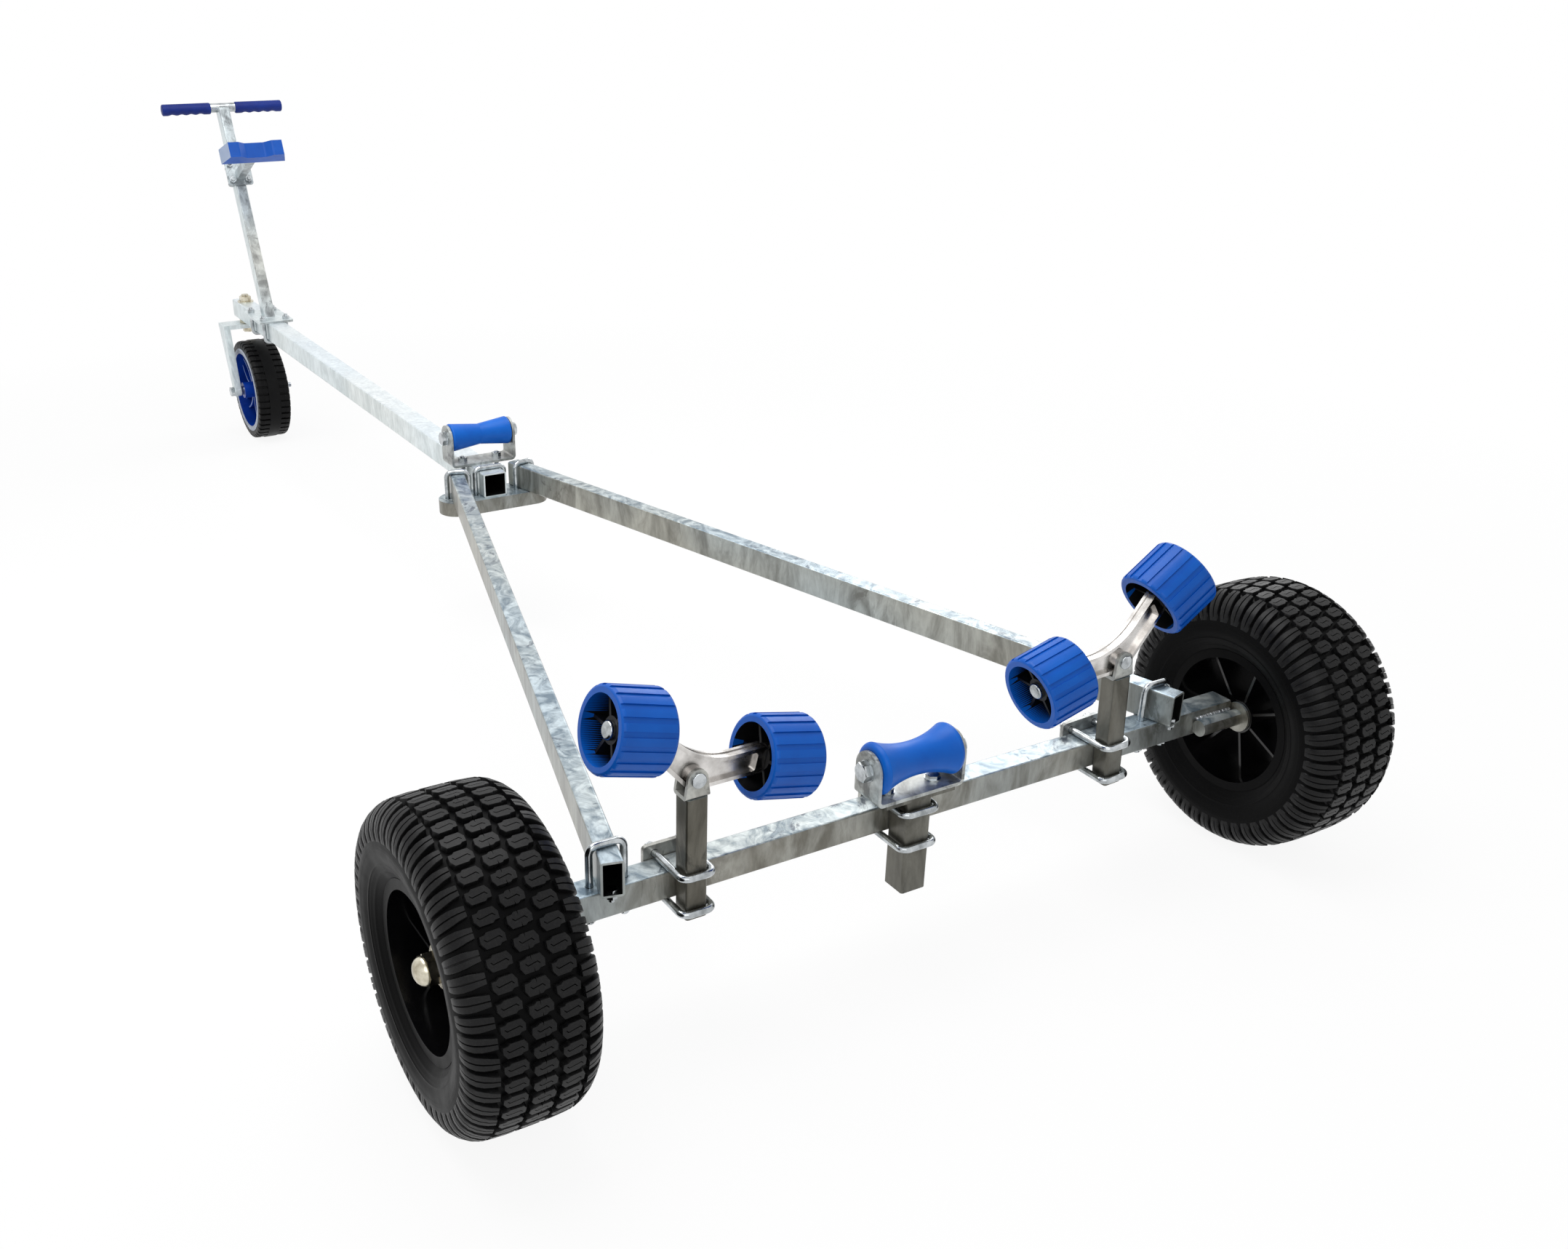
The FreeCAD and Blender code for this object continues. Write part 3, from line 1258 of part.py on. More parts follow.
def all_pieces():
    """Every piece of the trolley by name, in the frame's own axes."""
    pieces = {
        "axle_beam": make_axle_beam(),
        "drawbar": make_drawbar(),
        "cross_channel": make_cross_channel(),
        "rear_arm_bolts": make_rear_arm_bolts(),
        "junction_bolts": make_junction_bolts(),
        "keel_post": make_keel_post(),
        "keel_bracket_bolts": make_bracket_bolts(),
        "handle_post": make_handle_post(),
        "handle_bar": make_handle_bar(),
        "post_bolts": make_post_bolts(),
        "snubber_bracket": make_snubber_bracket(),
        "snubber_block": make_snubber_block(),
        "castor_bolt": make_castor_bolt(),
        "castor_fork": make_castor_fork(),
        "jockey_axle": make_jockey_axle(),
        "jockey_tyre": make_jockey_tyre(),
        "jockey_rim": make_jockey_rim(),
    }
    beside = V(0, keel_post_offset, 0)
    pieces["keel_clamp_plate"] = make_clamp_plate(keel_post_width).translated(beside)
    pieces["keel_clamp_bolts"] = clamp_bolts(keel_post_width, keel_post_depth).translated(beside)
    for place in ("rear", "front"):
        pieces["keel_bracket_" + place] = make_keel_bracket(place)
        pieces["keel_axle_" + place] = make_keel_axle(place)
        pieces["keel_roller_" + place] = make_keel_roller(place)
    for name, side in SIDES:
        pieces["stub_axle_" + name] = make_stub_axle(side)
        pieces["hub_nut_" + name] = make_hub_nut(side)
        pieces["tyre_" + name] = make_tyre(side)
        pieces["rim_" + name] = make_rim(side)
        pieces["side_arm_" + name] = make_side_arm(side)
        post = upright_tube(rocker_post_width, rocker_post_depth, -rocker_post_below, rocker_post_above)
        pieces["rocker_post_" + name] = on_stand(post, side)
        pieces["clamp_plate_" + name] = on_stand(make_clamp_plate(rocker_post_width), side)
        pieces["clamp_bolts_" + name] = on_stand(clamp_bolts(rocker_post_width, rocker_post_depth), side)
        pieces["yoke_" + name] = make_yoke(side)
        pieces["rocker_pin_" + name] = make_rocker_pin(side)
        pieces["rocker_" + name] = make_rocker(side)
        pieces["roller_bolts_" + name] = make_roller_bolts(side)
        pieces["roller_" + name + "_outer"] = make_roller(side, side)
        pieces["roller_" + name + "_inner"] = make_roller(side, -side)
        pieces["hand_grip_" + name] = make_hand_grip(side)
    return pieces


os.makedirs("parts", exist_ok=True)
for node, piece in all_pieces().items():
    standing(piece).exportStep("parts/" + node + ".step")
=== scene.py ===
"""Looks of a hand launching trolley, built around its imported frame."""
import json
import math

import bpy
import numpy as np
from mathutils import Matrix, Vector


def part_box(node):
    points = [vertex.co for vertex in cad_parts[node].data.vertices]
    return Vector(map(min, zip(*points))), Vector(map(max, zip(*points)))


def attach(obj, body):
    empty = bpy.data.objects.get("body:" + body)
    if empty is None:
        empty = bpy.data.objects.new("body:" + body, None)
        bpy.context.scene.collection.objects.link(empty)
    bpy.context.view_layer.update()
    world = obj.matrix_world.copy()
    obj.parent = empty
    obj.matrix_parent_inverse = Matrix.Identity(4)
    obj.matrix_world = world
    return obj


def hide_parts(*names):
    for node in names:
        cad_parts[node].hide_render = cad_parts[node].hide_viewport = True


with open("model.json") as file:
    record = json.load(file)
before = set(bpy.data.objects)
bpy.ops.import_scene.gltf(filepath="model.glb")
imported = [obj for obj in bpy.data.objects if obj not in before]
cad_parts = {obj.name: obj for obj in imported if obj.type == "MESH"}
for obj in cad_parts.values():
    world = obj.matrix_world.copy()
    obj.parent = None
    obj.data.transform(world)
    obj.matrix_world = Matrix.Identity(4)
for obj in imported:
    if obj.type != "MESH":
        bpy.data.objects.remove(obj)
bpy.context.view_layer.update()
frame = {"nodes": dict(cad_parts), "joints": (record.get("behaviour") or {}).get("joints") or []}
NODES = frame["nodes"]
JOINTS = {row["child"]: row for row in frame["joints"]}

# Camera, solved from the photograph: place in metres, angles in degrees, lens in millimetres
CAMERA_PLACE = Vector((-3.0323, 1.1781, 1.2242))
CAMERA_YAW = -29.91
CAMERA_PITCH = -23.79
CAMERA_ROLL = -0.53
CAMERA_SENSOR = 36.0
CAMERA_LENS = 35.61
CAMERA_SHIFT = (0.0549, 0.0334)

SMOOTH_ANGLE = math.radians(32)
MM = 0.001


def make_camera():
    """Camera at the photograph's viewing angle."""
    yaw, pitch, roll = (math.radians(a) for a in (CAMERA_YAW, CAMERA_PITCH, CAMERA_ROLL))
    ahead = Vector((math.cos(yaw) * math.cos(pitch), math.sin(yaw) * math.cos(pitch), math.sin(pitch)))
    right = ahead.cross(Vector((0, 0, 1))).normalized()
    up = right.cross(ahead)
    right, up = (right * math.cos(roll) + up * math.sin(roll), up * math.cos(roll) - right * math.sin(roll))
    data = bpy.data.cameras.new("camera")
    data.sensor_width = CAMERA_SENSOR
    data.lens = CAMERA_LENS
    data.shift_x, data.shift_y = CAMERA_SHIFT
    camera = bpy.data.objects.new("camera", data)
    camera.matrix_world = Matrix((right, up, -ahead)).transposed().to_4x4()
    camera.location = CAMERA_PLACE
    bpy.context.scene.collection.objects.link(camera)
    bpy.context.scene.camera = camera


# Node trees

def added(tree, kind, inputs=None, **settings):
    """New node with its settings and inputs; an input that is a socket is linked."""
    made = tree.nodes.new(kind)
    for key, value in settings.items():
        setattr(made, key, value)
    for key, value in (inputs or {}).items():
        if isinstance(value, bpy.types.NodeSocket):
            tree.links.new(value, made.inputs[key])
        else:
            made.inputs[key].default_value = value
    return made


def fresh(name):
    """New material, its tree and its shader."""
    paint = bpy.data.materials.new(name)
    paint.use_nodes = True
    return paint, paint.node_tree, paint.node_tree.nodes["Principled BSDF"]


def grain(tree, scale, stretch=(1, 1, 1), detail=3.0, roughness=0.55, swirl=0.0):
    """Noise on Object coordinates, drawn out along an axis by a small stretch value."""
    place = added(tree, "ShaderNodeTexCoord").outputs["Object"]
    place = added(tree, "ShaderNodeMapping", {"Vector": place, "Scale": stretch}).outputs[0]
    return added(tree, "ShaderNodeTexNoise", {"Vector": place, "Scale": scale, "Detail": detail,
                                              "Roughness": roughness, "Distortion": swirl}).outputs["Fac"]


def ramp(tree, value, stops):
    """Colour ramp: stops are (place, colour), and a plain number is a grey."""
    made = added(tree, "ShaderNodeValToRGB", {"Fac": value})
    points = made.color_ramp.elements
    while len(points) < len(stops):
        points.new(0.5)
    for point, (place, colour) in zip(points, stops):
        point.position = place
        point.color = (*colour, 1) if isinstance(colour, tuple) else (colour, colour, colour, 1)
    return made.outputs["Color"]


def blended(tree, share, first, second, mode="MIX"):
    """Mix of two colours by a share between 0 and 1."""
    made = added(tree, "ShaderNodeMix", data_type="RGBA", blend_type=mode)
    for index, value in ((0, share), (6, first), (7, second)):
        if isinstance(value, bpy.types.NodeSocket):
            tree.links.new(value, made.inputs[index])
        else:
            made.inputs[index].default_value = (*value, 1) if isinstance(value, tuple) else value
    return made.outputs[2]


def added_share(tree, first, second, scale):
    """Sum of two patterns times a scale, kept between 0 and 1."""
    total = added(tree, "ShaderNodeMath", {0: first, 1: second}, operation="ADD").outputs[0]
    made = added(tree, "ShaderNodeMath", {0: total, 1: scale}, operation="MULTIPLY")
    made.use_clamp = True
    return made.outputs[0]


def roughened(tree, shader, value, low, high):
    """Roughness between low and high, led by a pattern."""
    spread = added(tree, "ShaderNodeMapRange", {"Value": value, "To Min": low, "To Max": high}).outputs[0]
    tree.links.new(spread, shader.inputs["Roughness"])


def dented(tree, shader, value, distance, strength=0.5):
    """Bump of a pattern, its full height given in metres."""
    bump = added(tree, "ShaderNodeBump", {"Height": value, "Distance": distance, "Strength": strength})
    tree.links.new(bump.outputs[0], shader.inputs["Normal"])


# Finishes

def galvanised(name, dull, pale, stain, run=(1, 1, 1), swirl=1.2, warm=(1.0, 0.95, 0.86), metal=0.6):
    """Hot dip zinc: swirls and fine runs of two greys, small dark stains and a slow change of tint."""
    paint, tree, shader = fresh(name)
    swirls = grain(tree, 20.0, run, 5.0, 0.6, swirl)
    base = ramp(tree, swirls, ((0.36, dull), (0.62, pale)))
    fine = ramp(tree, grain(tree, 130.0, run, 3.0, 0.6), ((0.35, 0.86), (0.6, 1.0)))
    base = blended(tree, 1.0, base, fine, "MULTIPLY")
    stains = ramp(tree, grain(tree, 12.0, run, 7.0, 0.72, swirl), ((0.36, 0.8), (0.42, 0.0)))
    base = blended(tree, stains, base, stain)
    tint = ramp(tree, grain(tree, 2.1, (1, 1, 1), 1.0), ((0.42, warm), (0.58, (0.95, 1.0, 1.02))))
    base = blended(tree, 1.0, base, tint, "MULTIPLY")
    tree.links.new(base, shader.inputs["Base Color"])
    shader.inputs["Metallic"].default_value = metal
    roughened(tree, shader, swirls, 0.22, 0.44)
    dented(tree, shader, grain(tree, 60.0, run, 4.0), 0.0006, 0.35)
    return paint


def plated(name, dark, light, smooth, rough, scale=35.0, metal=1.0, height=0.0002):
    """Plated or cast metal: a soft change between two tones, and a slightly uneven gloss."""
    paint, tree, shader = fresh(name)
    tone = grain(tree, scale, (1, 1, 1), 4.0)
    tree.links.new(ramp(tree, tone, ((0.35, dark), (0.62, light))), shader.inputs["Base Color"])
    shader.inputs["Metallic"].default_value = metal
    roughened(tree, shader, grain(tree, scale * 3), smooth, rough)
    dented(tree, shader, grain(tree, scale * 2), height, 0.4)
    return paint


def moulded(name, deep, light, smooth, rough, specular=0.25, height=0.00015):
    """Moulded plastic or rubber: a faint cloud of two shades, with fine scuffs in its gloss."""
    paint, tree, shader = fresh(name)
    tone = grain(tree, 14.0, (1, 1, 1), 5.0)
    tree.links.new(ramp(tree, tone, ((0.3, deep), (0.7, light))), shader.inputs["Base Color"])
    roughened(tree, shader, grain(tree, 90.0, (1, 1, 1), 4.0), smooth, rough)
    dented(tree, shader, grain(tree, 260.0, (1, 1, 1), 3.0), height, 0.4)
    shader.inputs["Specular IOR Level"].default_value = specular
    return paint


def dusty_rubber(name, deep, dust, amount, specular):
    """Tyre rubber: near black, with pale dust in cloudy patches and fine specks."""
    paint, tree, shader = fresh(name)
    patches = ramp(tree, grain(tree, 11.0, (1, 1, 1), 7.0, 0.7), ((0.42, 0.0), (0.75, 1.0)))
    specks = ramp(tree, grain(tree, 420.0, (1, 1, 1), 2.0), ((0.52, 0.0), (0.75, 1.0)))
    share = added_share(tree, patches, specks, amount)
    tree.links.new(blended(tree, share, deep, dust), shader.inputs["Base Color"])
    roughened(tree, shader, grain(tree, 40.0), 0.28, 0.5)
    dented(tree, shader, grain(tree, 500.0, (1, 1, 1), 2.0), 0.0002, 0.4)
    shader.inputs["Specular IOR Level"].default_value = specular
    return paint


def make_finishes():
    """Every finish of the trolley, by name."""
    upright, cool = (1.0, 1.0, 0.35), (0.98, 1.0, 0.99)
    return {
        "zinc_bar": galvanised("zinc_bar", (0.17, 0.17, 0.155), (0.36, 0.375, 0.37), (0.10, 0.10, 0.09), upright),
        # The finish for the bars' tops is lighter than the sides: painted top light, over the zinc's own spangle and
        # streaks.
        "zinc_top_painted_light": galvanised("zinc_top_painted_light", (0.18, 0.24, 0.30), (0.60, 0.68, 0.74), (0.08, 0.10, 0.14), swirl=2.4),
        "zinc_arm": galvanised("zinc_arm", (0.21, 0.215, 0.205), (0.44, 0.46, 0.45), (0.14, 0.14, 0.13), upright),
        "zinc_pale": galvanised("zinc_pale", (0.66, 0.70, 0.70), (0.86, 0.89, 0.89), (0.58, 0.62, 0.62), upright,
                                warm=cool),
        # The drawbar's top finish is lighter than its sides: painted top light.
        "zinc_white_painted_light": galvanised("zinc_white_painted_light", (0.76, 0.80, 0.83), (0.90, 0.93, 0.95), (0.66, 0.70, 0.74),
                                 warm=cool),
        "zinc_post": galvanised("zinc_post", (0.085, 0.083, 0.072), (0.17, 0.17, 0.155), (0.055, 0.055, 0.05),
                                upright),
        "zinc_plate": galvanised("zinc_plate", (0.24, 0.25, 0.255), (0.56, 0.59, 0.60), (0.12, 0.125, 0.13)),
        # Near black for the inner walls of the hollow bars: painted shade inside them.
        "zinc_inside_painted_shade": galvanised("zinc_inside_painted_shade", (0.008, 0.008, 0.008), (0.02, 0.021, 0.02), (0.004, 0.004, 0.004)),
        "bright_zinc": plated("bright_zinc", (0.27, 0.29, 0.30), (0.54, 0.57, 0.59), 0.1, 0.26, 60.0),
        "gold_zinc": plated("gold_zinc", (0.40, 0.36, 0.27), (0.70, 0.66, 0.54), 0.14, 0.3, 60.0),
        "cast_metal": plated("cast_metal", (0.34, 0.325, 0.31), (0.72, 0.70, 0.68), 0.16, 0.34, 22.0),
        "roller_blue": moulded("roller_blue", (0.001, 0.082, 0.43), (0.002, 0.115, 0.55), 0.3, 0.46),
        "keel_blue": moulded("keel_blue", (0.001, 0.10, 0.50), (0.002, 0.14, 0.62), 0.32, 0.46),
        "grip_blue": moulded("grip_blue", (0.003, 0.014, 0.14), (0.005, 0.026, 0.22), 0.4, 0.6),
        "snubber_blue": moulded("snubber_blue", (0.001, 0.06, 0.34), (0.004, 0.09, 0.45), 0.34, 0.5),
        # Pale blue for the block's end faces: a painted sheen.
        "snubber_end_painted_sheen": moulded("snubber_end_painted_sheen", (0.33, 0.42, 0.6), (0.45, 0.53, 0.7), 0.45, 0.6),
        "rim_blue": moulded("rim_blue", (0.002, 0.03, 0.26), (0.004, 0.05, 0.38), 0.25, 0.4),
        # Paler blue for the faces of the castor rim's web: a painted highlight.
        "rim_painted_highlight": moulded("rim_painted_highlight", (0.16, 0.26, 0.62), (0.34, 0.45, 0.78), 0.3, 0.45),
        "rim_lip": moulded("rim_lip", (0.30, 0.34, 0.42), (0.56, 0.6, 0.68), 0.4, 0.55),
        "rim_black": moulded("rim_black", (0.0015, 0.0015, 0.002), (0.003, 0.003, 0.0035), 0.12, 0.26, 0.5),
        "core_black": moulded("core_black", (0.003, 0.003, 0.0035), (0.006, 0.006, 0.007), 0.35, 0.5),
        "wall_rubber": dusty_rubber("wall_rubber", (0.002, 0.002, 0.0022), (0.015, 0.015, 0.0145), 0.12, 0.05),
        # The tread is lighter than the carcass: partly dust and wear, partly a painted sheen on the blocks and
        # painted shade in the grooves between them.
        "tread_rubber_dust_and_sheen": dusty_rubber("tread_rubber_dust_and_sheen", (0.0045, 0.0045, 0.005), (0.03, 0.03, 0.029), 0.28, 0.17),
        "castor_rubber": dusty_rubber("castor_rubber", (0.003, 0.003, 0.0033), (0.02, 0.02, 0.02), 0.15, 0.1),
        "weld": plated("weld", (0.42, 0.44, 0.46), (0.72, 0.75, 0.78), 0.28, 0.5, 160.0, 0.9, 0.0005),
    }


# Meshes

def lattice(points, close_rows=False, close_columns=False):
    """Quads over a grid of points (rows, columns, 3), closed round on itself either way."""
    rows, columns = points.shape[:2]
    down, along = np.meshgrid(np.arange(rows if close_rows else rows - 1),
                              np.arange(columns if close_columns else columns - 1), indexing="ij")
    below, beside = (down + 1) % rows, (along + 1) % columns
    quads = np.stack((down * columns + along, down * columns + beside, below * columns + beside,
                      below * columns + along), -1).reshape(-1, 4)
    return points.reshape(-1, 3), [quads]


def capped(shape, columns):
    """The shape with its first and last rings closed by a face each."""
    points, groups = shape
    ring = np.arange(columns)[None]
    return points, groups + [ring[:, ::-1], ring + len(points) - columns]


def turned_out(shape, inside):
    """The shape with its faces turned to point away from a point inside it."""
    points, groups = shape
    corners = points[groups[0]]
    normals = np.cross(corners[:, 2] - corners[:, 0], corners[:, 3] - corners[:, 1])
    if (normals * (corners.mean(1) - inside)).sum() < 0:
        groups = [group[:, ::-1] for group in groups]
    return points, groups


def turned_outward(shape, face):
    """The shape with its faces turned so that one of them points away from the axle at the origin."""
    points, groups = shape
    a, b, c, d = points[groups[0][face]]
    if np.dot(np.cross(c - a, d - b), a * (1, 0, 1)) < 0:
        groups = [group[:, ::-1] for group in groups]
    return points, groups


def spun(shape, turns):
    """Copies of a shape, turned about the Y axis from +Z towards -X by each of the turns."""
    points, groups = shape
    cos, sin = np.cos(turns)[:, None], np.sin(turns)[:, None]
    x = points[:, 0] * cos - points[:, 2] * sin
    z = points[:, 0] * sin + points[:, 2] * cos
    y = np.broadcast_to(points[:, 1], x.shape)
    step = np.arange(len(turns))[:, None, None] * len(points)
    return np.stack((x, y, z), -1).reshape(-1, 3), [(g[None] + step).reshape(-1, g.shape[1]) for g in groups]


def make_piece(name, shapes, paints, body, replaced=(), place=(0, 0, 0)):
    """One mesh of several shapes with a finish each, moved to its place, that rides on a body."""
    points, faces, choice, base = [], [], [], 0
    for number, (vertices, groups) in enumerate(shapes):
        points.append(vertices)
        for group in groups:
            faces += (group + base).tolist()
            choice += [min(number, len(paints) - 1)] * len(group)
        base += len(vertices)
    mesh = bpy.data.meshes.new(name)
    mesh.from_pydata((np.concatenate(points) + np.array(place)).tolist(), [], faces)
    for paint in paints:
        mesh.materials.append(paint)
    mesh.polygons.foreach_set("material_index", choice)
    mesh.validate()
    mesh.shade_smooth()
    mesh.set_sharp_from_angle(angle=SMOOTH_ANGLE)
    made = bpy.data.objects.new(name, mesh)
    bpy.context.scene.collection.objects.link(made)
    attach(made, body)
    if replaced:
        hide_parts(*replaced)
    return made


# Turf tyre: sizes in millimetres, reach across from the middle plane and radius
PITCHES = 52
TREAD_RADIUS = 203.0
CROWN_REACH = (0.0, 30.0, 49.5, 60.0)
CROWN_TOP = (203.0, 202.9, 201.4, 198.2)
CROWN_BASE = (196.0, 196.0, 194.3, 191.2)
SHOULDER_TOP = ((52.5, 201.0), (60.5, 198.0), (68.2, 193.2), (74.6, 187.0), (78.9, 179.5), (81.3, 171.5),
                (82.3, 165.5), (82.3, 160.5))
SHOULDER_BASE = ((52.5, 193.6), (58.5, 191.4), (65.5, 187.4), (71.0, 182.0), (75.2, 175.5), (78.6, 169.0),
                 (80.7, 162.5), (81.5, 159.0))
CARCASS = ((0, 196), (30, 196), (49, 194.3), (52.5, 193.6), (58.5, 191.4), (65.5, 187.4), (71, 182), (75.2, 175.5),
           (78.6, 169), (80.7, 162.5), (82, 156), (82.2, 149), (81.4, 141), (79, 132), (75.4, 123.5),
           (71.6, 117.5), (69.3, 114), (68.2, 112.2), (64, 108), (62, 103))
WIDEST_REACH = 82.4
SIDE_RINGS = ((153.0, 0.5, 0.7), (149.5, 0.4, 0.6), (131.0, 0.8, 1.0), (127.5, 0.6, 0.8), (121.0, 0.7, 0.9))
LUG_HALF_WIDTHS = (6.4, 7.6, 8.8, 9.2, 9.2, 8.8, 8.0, 7.0)
LUG_SLANT = (0.0, 0.3, 1.0, 1.8, 2.4, 2.8, 3.0, 3.2)
LUG_COLUMNS = ((-1.12, 0.0), (-1.0, 0.93), (-0.94, 1.0), (-0.12, 1.0), (-0.07, 0.6), (0.07, 0.6), (0.12, 1.0),
               (0.94, 1.0), (1.0, 0.93), (1.12, 0.0))
# Half of each block's edge as (across, along), the other half turned by half a turn, and the slit's edge beside it
MIDDLE_EDGE = ((-14.6, 1.8), (-13.6, -5.2), (-7.8, -5.7), (-4.6, -7.7), (-1.1, -7.8), (-0.6, -3.4), (-0.1, -7.85),
               (10.6, -8.1))
MIDDLE_SLIT = ((-8.54, -1.03), (-7.86, -1.77), (-6.65, -0.65), (-5.44, 0.46), (-1.0, -0.33), (-0.6, -0.4),
               (-0.1, -0.49), (5.76, -1.54))
SIDE_EDGE = ((-14.2, 2.2), (-13.7, -5.2), (-8.4, -5.6), (-5.6, -7.8), (9.8, -8.2))
SIDE_SLIT = ((-10.1, -0.85), (-9.45, -1.55), (-8.2, -0.45), (-7.0, 0.65), (7.35, -1.7))
BLOCK_LEVELS = ((1.06, 0.0), (1.0, 0.93), (0.965, 1.0))
SIDE_BLOCK_REACH = 34.0
BLOCK_STRETCH = 1.12
SLIT_FLOOR = 0.45


def on_tyre(across, along, radius):
    """Point of a tyre about the origin: along runs round from the top towards -X."""
    turn = along / TREAD_RADIUS
    return np.stack((-radius * np.sin(turn), -across + 0 * turn, radius * np.cos(turn)), -1) * MM


def tread_block(edge, slit, middle):
    """Block of the tread: rings from its foot over its bevelled edge to the slit and down into it."""
    edge, slit = (np.concatenate((half, -np.array(half))) * (1.0, BLOCK_STRETCH) for half in (edge, slit))
    rings = [(edge * grow, lift) for grow, lift in BLOCK_LEVELS] + [(slit, 1.0), (slit, SLIT_FLOOR)]
    across = np.stack([ring[:, 0] for ring, lift in rings]) + middle
    along = np.stack([ring[:, 1] for ring, lift in rings])
    lift = np.array([lift for ring, lift in rings])[:, None]
    foot = np.interp(np.abs(across), CROWN_REACH, CROWN_BASE)
    top = np.interp(np.abs(across), CROWN_REACH, CROWN_TOP)
    points, groups = lattice(on_tyre(across, along, foot - 1 + (top - foot + 1) * lift), close_columns=True)
    count = edge.shape[0]
    floor = np.arange(count)[None] + count * (len(rings) - 1)
    return turned_out((points, groups + [floor]), on_tyre(*np.array(((middle,), (0,), (190.0,))))[0])


def shoulder_lug(side):
    """Lug over the shoulder: a grooved section carried down the side of the carcass."""
    top, base = np.array(SHOULDER_TOP), np.array(SHOULDER_BASE)
    shares = np.array(LUG_COLUMNS)
    fade = np.array((0.0, 1.0, 1.0, 1.0, 1.0, 1.0, 1.0, 0.75, 0.0))[:, None]
    rows = np.array((0, 0, 1, 2, 3, 4, 5, 6, 7))
    width = np.array(LUG_HALF_WIDTHS)[rows][:, None]
    lift = shares[None, :, 1] * fade
    reach = base[rows, 0][:, None] + (top[rows, 0] - base[rows, 0])[:, None] * lift
    radius = base[rows, 1][:, None] - 0.8 + (top[rows, 1] - base[rows, 1] + 0.8)[:, None] * lift
    along = shares[None, :, 0] * width + np.array(LUG_SLANT)[rows][:, None]
    shape = lattice(on_tyre(side * reach, along, radius))
    return turned_out(shape, on_tyre(*np.array(((side * 60.0,), (0,), (176.0,))))[0])


def carcass():
    """Ring of the tyre's body: half a section, mirrored and smoothed, carried round the axle."""
    half = np.array(CARCASS, float)
    place = np.concatenate(((0,), np.cumsum(np.hypot(*np.diff(half, axis=0).T))))
    steps = np.linspace(0, place[-1], 110)
    reach, radius = (np.interp(steps, place, half[:, i]) for i in (0, 1))
    for _ in range(3):
        reach[1:-1], radius[1:-1] = ((v[:-2] + 2 * v[1:-1] + v[2:]) / 4 for v in (reach, radius))
    for centre, height, spread in SIDE_RINGS:
        reach = reach + height * np.exp(-((radius - centre) / spread) ** 2)
    reach = np.minimum(reach, WIDEST_REACH)
    reach = np.concatenate((-reach[:0:-1], reach))[:, None]
    radius = np.concatenate((radius[:0:-1], radius))[:, None]
    around = np.arange(3 * PITCHES) * (2 * math.pi / (3 * PITCHES)) * TREAD_RADIUS
    shape = lattice(on_tyre(reach, around + 0 * reach, radius), close_rows=True, close_columns=True)
    return turned_outward(shape, len(reach) // 2 * len(around))


def make_turf_tyre(side, finishes):
    """Tyre with three rows of slit blocks between two rows of shoulder lugs."""
    turns = np.arange(PITCHES) * (2 * math.pi / PITCHES)
    half_pitch = math.pi / PITCHES
    shapes = [carcass(), spun(tread_block(MIDDLE_EDGE, MIDDLE_SLIT, 0.0), turns)]
    for end in (1, -1):
        shapes.append(spun(tread_block(SIDE_EDGE, SIDE_SLIT, end * SIDE_BLOCK_REACH), turns + half_pitch))
        shapes.append(spun(shoulder_lug(end), turns))
    node = "tyre_" + side
    low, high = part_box(node)
    place = [(a + b) / 2 for a, b in zip(low, high)]
    # Carcass in the darker rubber, blocks and lugs in the lighter: partly dust, partly painted sheen on the blocks
    # and painted shade in the grooves.
    make_piece("turf_" + node, shapes, (finishes["wall_rubber"], finishes["tread_rubber_dust_and_sheen"]), "wheel_" + side,
               (node,), place)


# Castor tyre: sizes in millimetres
CASTOR_PITCHES = 44
CASTOR_PROFILE = ((47.0, 113.2), (47.0, 133.5), (46.6, 137.5), (44.8, 141.2), (41.5, 143.2), (31.0, 143.9),
                  (30.0, 143.1), (17.0, 143.4), (16.0, 144.8), (0.0, 145.0))
CASTOR_SEAT_RADIUS, CASTOR_SEAT_REACH = 112.8, 47.0
CASTOR_SIPE_DEPTH = 4.0
CASTOR_SIPES = ((0.0, 0.0), (0.32, 0.0), (0.36, 1.0), (0.60, 1.0), (0.64, 0.0), (0.8, 0.0))


def make_castor_tyre(finishes):
    """Castor tyre: a rounded band with a raised middle, cut by short sipes at both sides."""
    half = np.array(CASTOR_PROFILE)
    rows = np.concatenate((half, (half * (-1, 1))[-2::-1]))
    sipes = np.array(CASTOR_SIPES)
    around = ((np.arange(CASTOR_PITCHES)[:, None] + sipes[:, 0]) / CASTOR_PITCHES * 2 * math.pi).ravel()
    cut = np.tile(sipes[:, 1], CASTOR_PITCHES)
    reach, radius = rows[:, 0][:, None], rows[:, 1][:, None]
    radius = radius - CASTOR_SIPE_DEPTH * cut * ((np.abs(reach) > 16) & (radius > 134))
    turn = around + 0.02 * np.abs(reach) / 47 * np.sign(reach)
    grid = np.stack((-radius * np.sin(turn), -reach + 0 * turn, radius * np.cos(turn)), -1) * MM
    seat = np.stack((-CASTOR_SEAT_RADIUS * np.sin(around), 0 * around, CASTOR_SEAT_RADIUS * np.cos(around)), -1)
    inner = np.stack([seat + (0, end * CASTOR_SEAT_REACH, 0) for end in (-1, 1)]) * MM
    grid = np.concatenate((inner[:1], grid, inner[1:]))
    shape = turned_outward(lattice(grid, close_rows=True, close_columns=True), (len(rows) // 2 + 1) * len(around))
    low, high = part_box("jockey_tyre")
    place = [(a + b) / 2 for a, b in zip(low, high)]
    make_piece("castor_tyre", [shape], (finishes["castor_rubber"],), "jockey_wheel",
               ("jockey_tyre",), place)


# Lips of the castor rim: reach across and radius in millimetres
CASTOR_LIP = ((46.8, 112.9), (48.0, 113.8), (48.5, 116.0), (48.3, 120.5), (47.5, 122.2), (46.6, 122.6))


